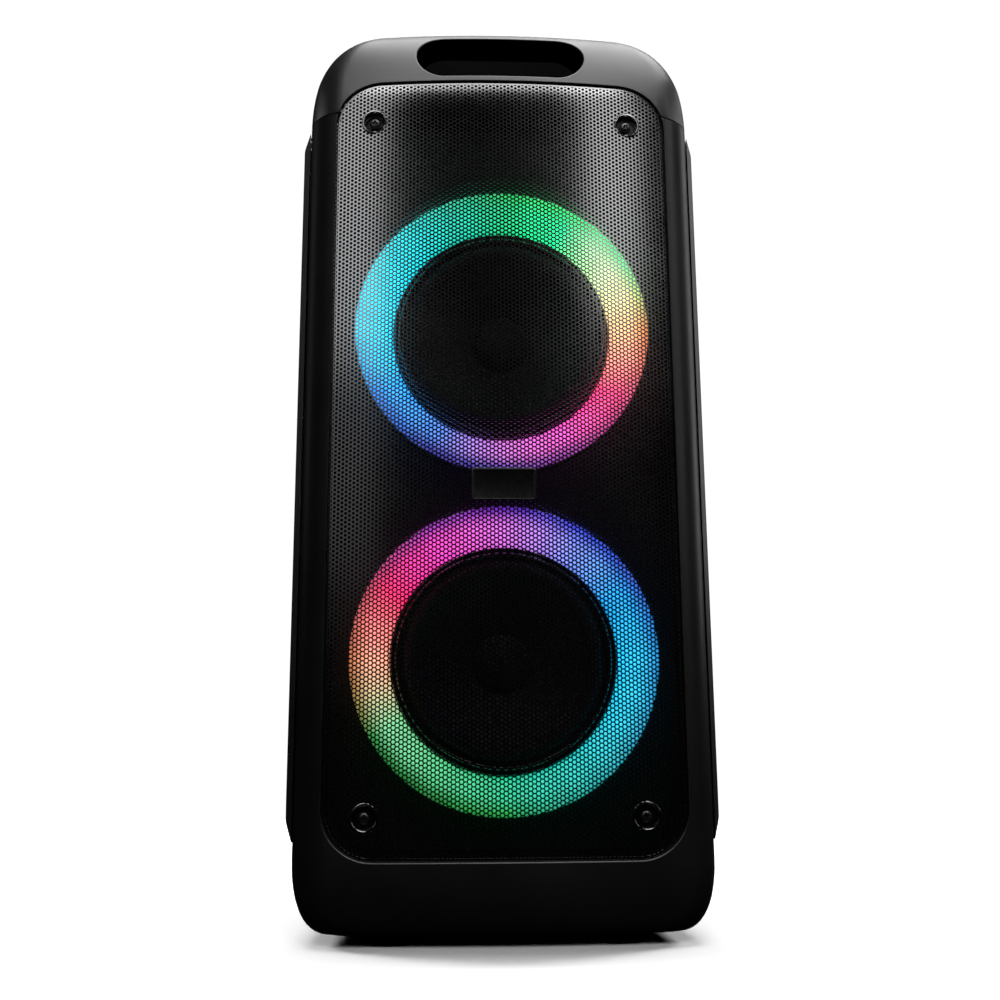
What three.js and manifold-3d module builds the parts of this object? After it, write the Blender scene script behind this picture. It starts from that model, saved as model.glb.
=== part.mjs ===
// Party speaker: a tall lit loudspeaker tower with a moulded enclosure, a carrying handle cut through its
// top cap, two drivers in light rings behind one curved steel grille, and a control panel on top.
//
// Millimetres, +Z up. The origin is on the ground under the middle of the body; the front faces -Y and +X
// is on the right of someone who looks at the front.

import * as THREE from 'three';
import { mergeVertices } from 'three/addons/utils/BufferGeometryUtils.js';
import Module from 'manifold-3d';

const wasm = await Module();
wasm.setup();

// ---------------------------------------------------------------- driving dimensions

const GAP = 0.3; // clearance between neighbouring pieces
// Sides of the largest rings, of driver parts and of small turned parts
const FACETS = { wide: 36, round: 24, small: 14 };

// Enclosure
const BODY_WIDTH = 293;
const BODY_DEPTH = 320;
const BODY_BOTTOM = 8.5;
const BODY_TOP = 701;
const SEAM_Z = 605; // top cap above, cabinet below
const FRONT_RADIUS = 716; // the front is a slice of a wide upright cylinder
const FRONT_CORNER = 32;
const REAR_CORNER = 30;
const WALL = 4;
const FRONT_WALL = 8;
const SPLIT_Y = -20; // the front and rear cabinets meet here
const FRONT_Y = -BODY_DEPTH / 2;
const REAR_Y = BODY_DEPTH / 2;

// How far the rounded foot and shoulders of the enclosure pull in, and over what height
const FOOT_ROUND = { side: 22, front: 10, rear: 16, height: 46 };
const SHOULDER = { side: 52, front: 60, rear: 40, height: 91, sweep: THREE.MathUtils.degToRad(84) };
const CROWN_INSET = 96;

// Grille
const GRILLE = { halfWidth: 125, bottom: 56, top: 628.5, corner: 35, recess: 1.6, thickness: 1.6 };
const GRILLE_LIP = 6;
const SEAT_DEPTH = 3.8;
const SCREW_X = 95.5;
const SCREW_ROWS = [84.5, 596];
const DIMPLE = { radius: 8, depth: 3.6, wall: 1.5 };
const SCREW_HEAD = { radius: 4.2, height: 2.6, crossLong: 2.2, crossHalf: 0.5, crossDepth: 1.2 };
const BADGE = { width: 46, height: 24, thickness: 1.2, z: 313 };

// Drivers and light rings
const DRIVERS = { upper: 433.5, lower: 192 };
const BAFFLE = { front: -128, thickness: 8, halfWidth: 136, bottom: 62, top: 602, hole: 71 };
const LIGHT_RING = { outer: 108, inner: 80.6, front: -147, back: -128.5, wall: 2.5 };
const LED_BOARD = { outer: 106, inner: 93, thickness: 1.6 };
const TRIM = { outer: 80, inner: 73.2 };
const BASKET = { flange: 79.5, neck: 44, depth: 42, wall: 2.2, windows: 4 };
const MAGNET = { radius: 44, thickness: 22, pole: 12, gapOuter: 15.4 };
const COIL = { radius: 13.2, wall: 0.9, length: 30 };
const CONE = { outer: 60, thickness: 1.4 };
const SURROUND = { outer: 71.4, rise: 5, thickness: 1.2 };
const CAP_RADIUS = 21;

// Handle and control panel
const SLOT = { halfWidth: 64.5, bottom: 634, top: 678 };
const POCKET = { halfWidth: 84, front: -104, rear: -76, floor: 632, wall: 3, corner: 12 };
const THROAT = { side: 4, below: 3.5, corner: 12 }; // solid left round the slot
const PANEL = { halfWidth: 104, front: -44, rear: 84, z: 688, thickness: 3, ledge: 5, corner: 12 };
const KNOBS = {
  volume_knob: { x: 0, y: 32, radius: 20, top: 699.6 },
  mic_knob: { x: -66, y: -14, radius: 8, top: 698 },
  guitar_knob: { x: 66, y: -14, radius: 8, top: 698 },
};
const SHAFT = { radius: 3, bottom: 681.5, clearance: 0.4, facets: 4 };
const POT_RADIUS = 6;
const KEY = {
  columns: [-82, -61, -40, 40, 61, 82],
  y: 34,
  halfWidth: 7.5,
  halfDepth: 5,
  rise: 1.8,
  drop: 3.4,
  flange: 1.5,
};
const DISPLAY = { halfWidth: 31, front: -24, rear: -6, thickness: 2.4 };
const CONTROL_BOARD = { halfWidth: 92, front: -30, rear: 72, top: 680.6, thickness: 1.6 };

// Rear connection panel and what it carries
const REAR_PANEL = { halfWidth: 88, bottom: 90, top: 330, thickness: 3, ledge: 8, corner: 10 };
const JACKS = { mic_jack: { x: -55, z: 296 }, guitar_jack: { x: -18, z: 296 } };
const JACK = { bore: 3.25, nut: 7, depth: 22 };
const USB = {
  x: 34,
  z: 296,
  halfWidth: 9,
  halfHeight: 5,
  depth: 16,
  slot: { halfWidth: 6.4, halfHeight: 2.6 },
  tongue: { halfWidth: 5.2, bottom: 0.2, top: 1.8, set: 4 },
};
const INLET = { x: 44, z: 122, halfWidth: 14, halfHeight: 10, depth: 20, wall: 2.2, pin: 1.2, pinX: 4.5 };
const ROCKER = {
  x: -44,
  z: 122,
  halfWidth: 9,
  halfHeight: 12,
  clearance: 1,
  pivotDepth: 6,
  tilt: THREE.MathUtils.degToRad(7),
};
const PORT = { z: 470, radius: 34, wall: 3, length: 120, flare: 7 };

// Inner units, each as low corner and high corner
const FLOOR_Z = BODY_BOTTOM + WALL + GAP;
const BATTERY = [[-62, -50, FLOOR_Z], [62, 30, 76]];
const POWER_SUPPLY = [[-70, 44, FLOOR_Z], [70, 112, 60]];
const AMPLIFIER = [[-62, 130, 152], [62, 132, 272]];
const HEAT_SINK = { low: [-55, 126, 165], high: [55, 129.7, 262], fins: 9, finDepth: 24, finWidth: 2.4 };
const LIGHT_CONTROLLER = [[-34, -119.7, 292], [34, -118, 332]];
const CAPACITORS = {
  radius: 8,
  from: 131,
  to: 146,
  centres: [[-50, 240], [-50, 210], [50, 240], [50, 210]],
};
const TRANSFORMER = [[-58, 56, FLOOR_Z + 1], [-16, 98, 54]];
const SMOOTHING_CAN = { x: 24, y: 78, radius: 13, top: 52 };

// Side guards
const GUARD = { bottom: 68, top: 600, halfDepth: 126, proud: 5.6, bevel: 11 };
const GUARD_CHAMFER = { bottom: 14, top: 9 };

// Feet
const FOOT = { radius: 23, x: 78, y: 108, height: BODY_BOTTOM - GAP };

// ---------------------------------------------------------------- finishes

const finish = (name, color, roughness, metalness = 0) =>
  new THREE.MeshStandardMaterial({ name, color, roughness, metalness });

const FINISH = {
  shell: () => finish('moulded black', 0x1c1d20, 0.6),
  guard: () => finish('side guard black', 0x121315, 0.7),
  grille: () => finish('painted steel', 0x17181a, 0.45, 0.6),
  steel: () => finish('blackened steel', 0x2a2c2f, 0.35, 0.9),
  gloss: () => finish('gloss black', 0x0a0a0b, 0.15),
  rubber: () => finish('rubber', 0x0e0e0f, 0.85),
  light: () => finish('light diffuser', 0x3ad0e8, 0.4),
  board: () => finish('circuit board', 0x14301d, 0.5),
  paper: () => finish('cone paper', 0x0c0c0d, 0.8),
  ferrite: () => finish('ferrite', 0x3a3c40, 0.5, 0.3),
  copper: () => finish('copper winding', 0xb06a3a, 0.4, 0.8),
  cloth: () => finish('resin cloth', 0x8a6f3c, 0.9),
  wood: () => finish('fibreboard', 0x5a4632, 0.85),
  metal: () => finish('aluminium', 0xa8abb0, 0.4, 0.9),
  key: () => finish('soft key', 0x26282b, 0.7),
  battery: () => finish('battery wrap', 0x2456a0, 0.5),
};

// ---------------------------------------------------------------- solids

const speaker = new THREE.Group();

function addPart(name, geometry, material, place = [0, 0, 0]) {
  const mesh = new THREE.Mesh(geometry, material);
  mesh.name = name;
  mesh.position.set(...place);
  speaker.add(mesh);
  return mesh;
}

// A closed three.js geometry as a manifold solid, whichever way its faces were wound.
function solid(geometry) {
  const plain = new THREE.BufferGeometry();
  plain.setAttribute('position', geometry.getAttribute('position'));
  plain.setIndex(geometry.getIndex());
  const merged = mergeVertices(plain, 1e-3);
  const points = merged.getAttribute('position');
  const index = merged.getIndex().array;
  const faces = [];
  let volume = 0;
  const [a, b, c] = [new THREE.Vector3(), new THREE.Vector3(), new THREE.Vector3()];
  for (let i = 0; i < index.length; i += 3) {
    const [i0, i1, i2] = [index[i], index[i + 1], index[i + 2]];
    if (i0 === i1 || i1 === i2 || i2 === i0) continue;
    a.fromBufferAttribute(points, i0);
    b.fromBufferAttribute(points, i1);
    c.fromBufferAttribute(points, i2);
    volume += a.dot(b.cross(c));
    faces.push(i0, i1, i2);
  }
  if (volume < 0) faces.reverse();
  return new wasm.Manifold(new wasm.Mesh({
    numProp: 3,
    vertProperties: new Float32Array(points.array),
    triVerts: new Uint32Array(faces),
  }));
}

function geometryOf(body) {
  const { vertProperties, triVerts } = body.getMesh();
  const geometry = new THREE.BufferGeometry();
  geometry.setAttribute('position', new THREE.BufferAttribute(vertProperties, 3));
  geometry.setIndex(new THREE.BufferAttribute(triVerts, 1));
  return geometry;
}

const join = (first, ...rest) => rest.reduce((body, other) => body.add(other), first);
const cut = (first, ...tools) => tools.reduce((body, tool) => body.subtract(tool), first);

// ---------------------------------------------------------------- outlines and prisms

const outline = (points) => new THREE.Shape(points.map(([u, v]) => new THREE.Vector2(u, v)));

const rectangle = (u0, v0, u1, v1) => outline([[u0, v0], [u1, v0], [u1, v1], [u0, v1]]);

function roundedRectangle(u0, v0, u1, v1, r) {
  const shape = new THREE.Shape();
  shape.absarc(u1 - r, v0 + r, r, -Math.PI / 2, 0);
  shape.absarc(u1 - r, v1 - r, r, 0, Math.PI / 2);
  shape.absarc(u0 + r, v1 - r, r, Math.PI / 2, Math.PI);
  shape.absarc(u0 + r, v0 + r, r, Math.PI, 1.5 * Math.PI);
  return shape;
}

function circle(u, v, r) {
  return new THREE.Shape().absarc(u, v, r, 0, 2 * Math.PI);
}

function extruded(shape, length, curveSegments = 12) {
  return new THREE.ExtrudeGeometry(shape, { depth: length, bevelEnabled: false, curveSegments });
}

// An outline in the XZ plane, drawn out from y0 to y1.
function alongY(shape, y0, y1, curveSegments) {
  return extruded(shape, y1 - y0, curveSegments).translate(0, 0, -y1).rotateX(Math.PI / 2);
}

// An outline in the XY plane, drawn out from z0 to z1.
function alongZ(shape, z0, z1, curveSegments) {
  return extruded(shape, z1 - z0, curveSegments).translate(0, 0, z0);
}

// An outline in the YZ plane, drawn out from x0 to x1.
function alongX(shape, x0, x1, curveSegments) {
  const turn = new THREE.Matrix4().makeBasis(
    new THREE.Vector3(0, 1, 0),
    new THREE.Vector3(0, 0, 1),
    new THREE.Vector3(1, 0, 0),
  );
  return extruded(shape, x1 - x0, curveSegments).translate(0, 0, x0).applyMatrix4(turn);
}

const boxBetween = ([x0, y0, z0], [x1, y1, z1]) => alongZ(rectangle(x0, y0, x1, y1), z0, z1);

// A closed profile of [radius, y] points turned round the Y axis, at height z.
function turnedAboutY(profile, z, segments) {
  const closed = profile[0][0] === 0 ? profile : [...profile, profile[0]];
  const points = closed.map(([r, y]) => new THREE.Vector2(r, y));
  return new THREE.LatheGeometry(points, segments).translate(0, 0, z);
}

// A profile of [radius, z] points from axis to axis, turned round a vertical axis.
function turnedAboutZ(profile, x, y, segments) {
  const points = profile.map(([r, h]) => new THREE.Vector2(r, h));
  return new THREE.LatheGeometry(points, segments).rotateX(Math.PI / 2).translate(x, y, 0);
}

// ---------------------------------------------------------------- enclosure

const FRONT_STEPS = 8;
const CORNER_STEPS = 4;

function arcPoints(cx, cy, r, from, to, steps) {
  return Array.from({ length: steps + 1 }, (_, i) => {
    const angle = from + ((to - from) * i) / steps;
    return [cx + r * Math.cos(angle), cy + r * Math.sin(angle)];
  });
}

// Plan of the enclosure pulled in by an inset on each side: convex front, front corners, rear corners.
function planOutline({ side, front, rear }) {
  const halfWidth = BODY_WIDTH / 2 - side;
  const frontY = FRONT_Y + front;
  const rearY = REAR_Y - rear;
  const shrink = Math.min(side, WALL);
  const corner = FRONT_CORNER - shrink;
  const rearCorner = REAR_CORNER - shrink;
  const reach = Math.sqrt((FRONT_RADIUS - corner) ** 2 - (halfWidth - corner) ** 2);
  const cornerY = frontY + FRONT_RADIUS - reach;
  const lean = Math.asin((halfWidth - corner) / (FRONT_RADIUS - corner));
  const down = -Math.PI / 2;
  return [
    ...arcPoints(0, frontY + FRONT_RADIUS, FRONT_RADIUS, down - lean, down + lean, FRONT_STEPS),
    ...arcPoints(halfWidth - corner, cornerY, corner, down + lean, 0, CORNER_STEPS).slice(1),
    ...arcPoints(halfWidth - rearCorner, rearY - rearCorner, rearCorner, 0, Math.PI / 2, CORNER_STEPS),
    ...arcPoints(rearCorner - halfWidth, rearY - rearCorner, rearCorner, Math.PI / 2, Math.PI, CORNER_STEPS),
    ...arcPoints(corner - halfWidth, cornerY, corner, Math.PI, 3 * Math.PI / 2 - lean, CORNER_STEPS)
      .slice(0, -1),
  ];
}

// Heights and insets of the enclosure's plans, foot to crown, for a skin the given depth under the surface.
function enclosurePlans(depth, frontDepth) {
  const plans = [];
  const add = (z, side, front, rear) => {
    plans.push({ z, side: side + depth, front: front + frontDepth, rear: rear + depth });
  };
  const footSteps = 5;
  const footTop = BODY_BOTTOM + FOOT_ROUND.height;
  for (let i = footSteps; i >= 0; i -= 1) {
    const angle = (i / footSteps) * (Math.PI / 2);
    const pull = 1 - Math.cos(angle);
    const z = footTop - (FOOT_ROUND.height - depth) * Math.sin(angle);
    add(z, FOOT_ROUND.side * pull, FOOT_ROUND.front * pull, FOOT_ROUND.rear * pull);
  }
  const shoulderSteps = 6;
  for (let i = 0; i <= shoulderSteps; i += 1) {
    const angle = (i / shoulderSteps) * SHOULDER.sweep;
    const pull = 1 - Math.cos(angle);
    const z = SEAM_Z + (SHOULDER.height - depth) * Math.sin(angle);
    add(z, SHOULDER.side * pull, SHOULDER.front * pull, SHOULDER.rear * pull);
  }
  const pull = 1 - Math.cos(SHOULDER.sweep);
  const shoulderTop = SEAM_Z + SHOULDER.height * Math.sin(SHOULDER.sweep);
  const crownSteps = 2;
  for (let i = 1; i <= crownSteps; i += 1) {
    const part = i / crownSteps;
    const z = shoulderTop + (BODY_TOP - shoulderTop) * (1 - (1 - part) ** 2) - depth;
    const inset = CROWN_INSET * part;
    add(z, SHOULDER.side * pull + inset, SHOULDER.front * pull + inset, SHOULDER.rear * pull + inset);
  }
  return plans;
}

// Stacked plans joined into one closed skin, with flat ends.
function loft(plans) {
  const rings = plans.map((plan) => planOutline(plan));
  const count = rings[0].length;
  const positions = [];
  const index = [];
  rings.forEach((ring, level) => ring.forEach(([x, y]) => positions.push(x, y, plans[level].z)));
  for (let level = 0; level < rings.length - 1; level += 1) {
    for (let i = 0; i < count; i += 1) {
      const a = level * count + i;
      const b = level * count + ((i + 1) % count);
      index.push(a, b, b + count, a, b + count, a + count);
    }
  }
  const topStart = (rings.length - 1) * count;
  for (let i = 1; i < count - 1; i += 1) {
    index.push(0, i + 1, i);
    index.push(topStart, topStart + i, topStart + i + 1);
  }
  const geometry = new THREE.BufferGeometry();
  geometry.setAttribute('position', new THREE.Float32BufferAttribute(positions, 3));
  geometry.setIndex(index);
  return geometry;
}

// Y of the front skin at x, for a surface the given depth behind it.
function frontYAt(x, depth = 0) {
  const r = FRONT_RADIUS - depth;
  return FRONT_Y + FRONT_RADIUS - Math.sqrt(r * r - x * x);
}

// A curved slab that follows the front, between two depths behind it.
function frontSlab(depth0, depth1, halfWidth, z0, z1, steps = 8) {
  const across = Array.from({ length: steps + 1 }, (_, i) => -halfWidth + (2 * halfWidth * i) / steps);
  const near = across.map((x) => [x, frontYAt(x, depth0)]);
  const far = across.map((x) => [x, frontYAt(x, depth1)]).reverse();
  return alongZ(outline([...near, ...far]), z0, z1);
}

const grilleShape = (shrink) => roundedRectangle(
  -GRILLE.halfWidth + shrink,
  GRILLE.bottom + shrink,
  GRILLE.halfWidth - shrink,
  GRILLE.top - shrink,
  GRILLE.corner - shrink,
);

const OUTSIDE = 400; // past the object on every side
const CUTTER = 30; // how far a cutting tool runs past a plate
const outerSkin = solid(loft(enclosurePlans(0, 0)));
const innerSkin = solid(loft(enclosurePlans(WALL, FRONT_WALL)));

// The grille sits in a seat that follows the front, with a lip behind its edge.
const seat = solid(alongY(grilleShape(0), -OUTSIDE, BAFFLE.front - 1, 6))
  .intersect(solid(frontSlab(-30, SEAT_DEPTH, GRILLE.halfWidth + 10, 0, OUTSIDE * 2)));
const grilleWindow = solid(alongY(grilleShape(GRILLE_LIP), -OUTSIDE, BAFFLE.front - 1, 6));

const slotRadius = (SLOT.top - SLOT.bottom) / 2;
const slotTool = solid(alongY(
  roundedRectangle(-SLOT.halfWidth, SLOT.bottom, SLOT.halfWidth, SLOT.top, slotRadius - 0.01),
  -OUTSIDE,
  POCKET.front + 6,
  10,
));

const pocketShape = (grow) => roundedRectangle(
  -POCKET.halfWidth - grow,
  POCKET.front - grow,
  POCKET.halfWidth + grow,
  POCKET.rear + grow,
  POCKET.corner + grow,
);
const pocketTool = solid(alongZ(pocketShape(0), POCKET.floor, BODY_TOP + CUTTER, 5));
const pocketLiner = solid(alongZ(pocketShape(POCKET.wall), POCKET.floor - POCKET.wall, BODY_TOP + CUTTER, 5));

// The bar above the slot is solid, and a throat joins the slot to the pocket.
const throatDepth = { front: FRONT_Y + 2, rear: POCKET.front + 1 };
const throat = solid(alongY(
  roundedRectangle(
    -SLOT.halfWidth - THROAT.side,
    SLOT.bottom - THROAT.below,
    SLOT.halfWidth + THROAT.side,
    BODY_TOP + 10,
    THROAT.corner,
  ),
  throatDepth.front,
  throatDepth.rear,
  5,
));

const panelShape = (shrink) => roundedRectangle(
  -PANEL.halfWidth + shrink,
  PANEL.front + shrink,
  PANEL.halfWidth - shrink,
  PANEL.rear - shrink,
  PANEL.corner - shrink,
);
const panelSeat = solid(alongZ(panelShape(0), PANEL.z - PANEL.thickness - GAP, BODY_TOP + CUTTER, 5));
const panelWindow = solid(alongZ(panelShape(PANEL.ledge), PANEL.z - CUTTER, BODY_TOP + CUTTER, 5));
const panelFrame = solid(alongZ(panelShape(-3), PANEL.z - PANEL.thickness - 3.3, BODY_TOP + CUTTER, 5));

const above = solid(boxBetween([-OUTSIDE, -OUTSIDE, SEAM_Z + GAP], [OUTSIDE, OUTSIDE, OUTSIDE * 2]));
const frontBlock = solid(boxBetween([-OUTSIDE, -OUTSIDE, 0], [OUTSIDE, SPLIT_Y, SEAM_Z]));
const rearBlock = solid(boxBetween([-OUTSIDE, SPLIT_Y + GAP, 0], [OUTSIDE, OUTSIDE, SEAM_Z]));

const skin = cut(outerSkin, innerSkin, seat, grilleWindow);

// The cap is hollow except for the handle, the walls of the pocket behind it and the panel's frame.
const capHollow = cut(innerSkin, pocketLiner, throat, panelFrame);
const topCap = cut(
  outerSkin.intersect(above),
  capHollow,
  pocketTool,
  slotTool,
  panelSeat,
  panelWindow,
  seat,
  grilleWindow,
);
addPart('top_cap', geometryOf(topCap), FINISH.shell());

addPart('front_cabinet', geometryOf(skin.intersect(frontBlock)), FINISH.shell());

// The rear cabinet has openings for the connection panel and the bass port.
const rearPanelShape = (shrink) => roundedRectangle(
  -REAR_PANEL.halfWidth + shrink,
  REAR_PANEL.bottom + shrink,
  REAR_PANEL.halfWidth - shrink,
  REAR_PANEL.top - shrink,
  REAR_PANEL.corner - shrink,
);
const rearCabinet = cut(
  skin.intersect(rearBlock),
  solid(alongY(rearPanelShape(0), REAR_Y - REAR_PANEL.thickness - GAP, OUTSIDE, 5)),
  solid(alongY(rearPanelShape(REAR_PANEL.ledge), REAR_Y - CUTTER, OUTSIDE, 5)),
  solid(alongY(circle(0, PORT.z, PORT.radius + PORT.wall + GAP), REAR_Y - CUTTER, OUTSIDE, FACETS.round)),
);
addPart('rear_cabinet', geometryOf(rearCabinet), FINISH.shell());

// Side guards: bevelled bars along both sides.
function sideGuard(direction) {
  const inner = BODY_WIDTH / 2 + GAP;
  const outer = inner + GUARD.proud;
  const face = outline([
    [inner, -GUARD.halfDepth],
    [outer, -GUARD.halfDepth + GUARD.bevel],
    [outer, GUARD.halfDepth - GUARD.bevel],
    [inner, GUARD.halfDepth],
  ]);
  const ends = outline([
    [inner - 1, GUARD.bottom - 2],
    [inner, GUARD.bottom],
    [outer, GUARD.bottom + GUARD_CHAMFER.bottom],
    [outer, GUARD.top - GUARD_CHAMFER.top],
    [inner, GUARD.top],
    [inner - 1, GUARD.top + 2],
  ]);
  const bar = solid(alongZ(face, GUARD.bottom, GUARD.top));
  const side = solid(alongY(ends, -OUTSIDE, OUTSIDE));
  const guard = geometryOf(bar.intersect(side));
  return direction > 0 ? guard : guard.rotateZ(Math.PI);
}
addPart('side_guard_right', sideGuard(1), FINISH.guard());
addPart('side_guard_left', sideGuard(-1), FINISH.guard());

// ---------------------------------------------------------------- grille, badge and screws

const screwPlaces = SCREW_ROWS.flatMap((z) => [[-SCREW_X, z], [SCREW_X, z]]);

const grilleSheet = solid(frontSlab(
  GRILLE.recess,
  GRILLE.recess + GRILLE.thickness,
  GRILLE.halfWidth,
  GRILLE.bottom,
  GRILLE.top,
)).intersect(solid(alongY(grilleShape(GAP), -OUTSIDE, 0, 6)));
const dimpleFront = frontYAt(SCREW_X, GRILLE.recess) + 0.6;
const dimpleFloor = dimpleFront + DIMPLE.depth;
const dimpleDisc = ([x, z], radius, from, to) => solid(alongY(circle(x, z, radius), from, to, FACETS.small));
const dimpleCup = (spot) => (
  dimpleDisc(spot, DIMPLE.radius + DIMPLE.wall, dimpleFront, dimpleFloor + DIMPLE.wall)
);
const dimpleHollow = (spot) => dimpleDisc(spot, DIMPLE.radius, -OUTSIDE, dimpleFloor);
const grille = cut(join(grilleSheet, ...screwPlaces.map(dimpleCup)), ...screwPlaces.map(dimpleHollow));
addPart('front_grille', geometryOf(grille), FINISH.grille());

screwPlaces.forEach(([x, z], i) => {
  const head = turnedAboutY([
    [0, -SCREW_HEAD.height],
    [SCREW_HEAD.radius * 0.6, -SCREW_HEAD.height],
    [SCREW_HEAD.radius, -SCREW_HEAD.height * 0.4],
    [SCREW_HEAD.radius, 0],
    [0, 0],
  ], 0, FACETS.small);
  const { crossLong, crossHalf, crossDepth } = SCREW_HEAD;
  const crossFloor = -SCREW_HEAD.height + crossDepth;
  const recess = [
    solid(boxBetween([-crossLong, -OUTSIDE, -crossHalf], [crossLong, crossFloor, crossHalf])),
    solid(boxBetween([-crossHalf, -OUTSIDE, -crossLong], [crossHalf, crossFloor, crossLong])),
  ];
  const screw = geometryOf(cut(solid(head), ...recess));
  addPart(`grille_screw_${i + 1}`, screw, FINISH.steel(), [x, dimpleFloor - GAP, z]);
});

const badge = solid(alongY(
  roundedRectangle(
    -BADGE.width / 2,
    BADGE.z - BADGE.height / 2,
    BADGE.width / 2,
    BADGE.z + BADGE.height / 2,
    2,
  ),
  frontYAt(0, GRILLE.recess) - GAP - BADGE.thickness,
  OUTSIDE,
  4,
)).intersect(solid(frontSlab(-OUTSIDE / 10, GRILLE.recess - GAP, BADGE.width, 0, OUTSIDE * 2, 10)));
addPart('badge_plate', geometryOf(badge), FINISH.gloss());

// ---------------------------------------------------------------- baffle, light rings and drivers

const driverHeights = Object.values(DRIVERS);
const baffle = cut(
  solid(boxBetween(
    [-BAFFLE.halfWidth, BAFFLE.front, BAFFLE.bottom],
    [BAFFLE.halfWidth, BAFFLE.front + BAFFLE.thickness, BAFFLE.top],
  )),
  ...driverHeights.map((z) => solid(alongY(circle(0, z, BAFFLE.hole), -OUTSIDE, OUTSIDE, FACETS.wide))),
);
addPart('baffle_board', geometryOf(baffle), FINISH.wood());

const flangeBack = BAFFLE.front - GAP;
const flangeFront = flangeBack - 2.6;
const coneFront = flangeFront - GAP;
const magnetFront = BAFFLE.front + BASKET.depth + GAP;
const coneBack = magnetFront - 23;
const coilOuter = COIL.radius + COIL.wall;

const profiles = {
  lightRing: [
    [LIGHT_RING.outer, LIGHT_RING.front],
    [LIGHT_RING.outer, LIGHT_RING.front + LIGHT_RING.wall],
    [LIGHT_RING.inner, LIGHT_RING.back],
    [LIGHT_RING.inner, LIGHT_RING.back - LIGHT_RING.wall],
    [LIGHT_RING.inner + 6, LIGHT_RING.back - LIGHT_RING.wall - 3],
    [LIGHT_RING.outer - 8, LIGHT_RING.front + 1],
  ],
  ledBoard: [
    [LED_BOARD.inner, BAFFLE.front - GAP - LED_BOARD.thickness],
    [LED_BOARD.outer, BAFFLE.front - GAP - LED_BOARD.thickness],
    [LED_BOARD.outer, BAFFLE.front - GAP],
    [LED_BOARD.inner, BAFFLE.front - GAP],
  ],
  trimRing: [
    [TRIM.inner, flangeFront - GAP],
    [TRIM.inner, flangeFront - 3.6],
    [TRIM.inner + 1.6, flangeFront - 4.6],
    [TRIM.inner + 3.2, flangeFront - 3.6],
    [TRIM.outer, flangeFront - 3.6],
    [TRIM.outer, flangeFront - GAP],
  ],
  basket: [
    [BASKET.flange, flangeFront],
    [BASKET.flange, flangeBack],
    [BAFFLE.hole - 0.6, flangeBack],
    [BASKET.neck + 2, magnetFront - 5],
    [BASKET.neck + 2, magnetFront - GAP],
    [MAGNET.gapOuter + 8, magnetFront - GAP],
    [MAGNET.gapOuter + 8, magnetFront - GAP - BASKET.wall],
    [BASKET.neck - 0.5, magnetFront - GAP - BASKET.wall],
    [BASKET.neck - 0.5, magnetFront - 6],
    [BAFFLE.hole - 5, flangeBack - 0.4],
    [BAFFLE.hole - 5, flangeFront],
  ],
  magnet: [
    [0, magnetFront - 4],
    [MAGNET.pole, magnetFront - 4],
    [MAGNET.pole, magnetFront + 12],
    [MAGNET.gapOuter, magnetFront + 12],
    [MAGNET.gapOuter, magnetFront],
    [MAGNET.radius, magnetFront],
    [MAGNET.radius, magnetFront + MAGNET.thickness],
    [0, magnetFront + MAGNET.thickness],
  ],
  voiceCoil: [
    [COIL.radius, magnetFront + 6 - COIL.length],
    [coilOuter, magnetFront + 6 - COIL.length],
    [coilOuter, magnetFront + 6],
    [COIL.radius, magnetFront + 6],
  ],
  spider: [
    [coilOuter + GAP, magnetFront - 15],
    [23, magnetFront - 17],
    [33, magnetFront - 14],
    [47.5, magnetFront - 15],
    [47.5, magnetFront - 14],
    [33, magnetFront - 13],
    [23, magnetFront - 16],
    [coilOuter + GAP, magnetFront - 14],
  ],
  cone: [
    [coilOuter + GAP, coneBack],
    [CONE.outer, coneFront],
    [CONE.outer, coneFront + CONE.thickness],
    [coilOuter + GAP, coneBack + 2 * CONE.thickness],
  ],
};

// A half-round roll between the cone and the frame.
function surroundProfile() {
  const middle = (CONE.outer + GAP + SURROUND.outer) / 2;
  const radius = (SURROUND.outer - CONE.outer - GAP) / 2;
  const base = coneFront;
  const roll = (r, rise) => Array.from({ length: 5 }, (_, i) => {
    const angle = (Math.PI * i) / 4;
    return [middle - r * Math.cos(angle), base - rise * Math.sin(angle)];
  });
  const under = roll(radius - SURROUND.thickness, SURROUND.rise - SURROUND.thickness).reverse();
  return [...roll(radius, SURROUND.rise), ...under];
}

// A shallow dome that closes the throat of the cone; its rim rests just in front of the cone.
function dustCapProfile() {
  const slope = (coneBack - coneFront) / (CONE.outer - coilOuter - GAP);
  const rim = coneFront + (CONE.outer - CAP_RADIUS) * slope - 1.2;
  const dome = (r, rise, back) => Array.from({ length: 4 }, (_, i) => {
    const angle = (Math.PI / 2) * (i / 3);
    return [r * Math.sin(angle), rim - back - rise * Math.cos(angle)];
  });
  const inside = dome(CAP_RADIUS - 1, 6.2, 0).reverse();
  return [...dome(CAP_RADIUS, 7.2, 0), ...inside];
}

function basketWindows(z) {
  const tools = [];
  for (let i = 0; i < BASKET.windows; i += 1) {
    const angle = ((i + 0.5) / BASKET.windows) * 2 * Math.PI;
    const window = boxBetween([46, flangeBack + 8, -18], [OUTSIDE, magnetFront - 8, 18]);
    tools.push(solid(window.rotateY(angle).translate(0, 0, z)));
  }
  return tools;
}

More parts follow.
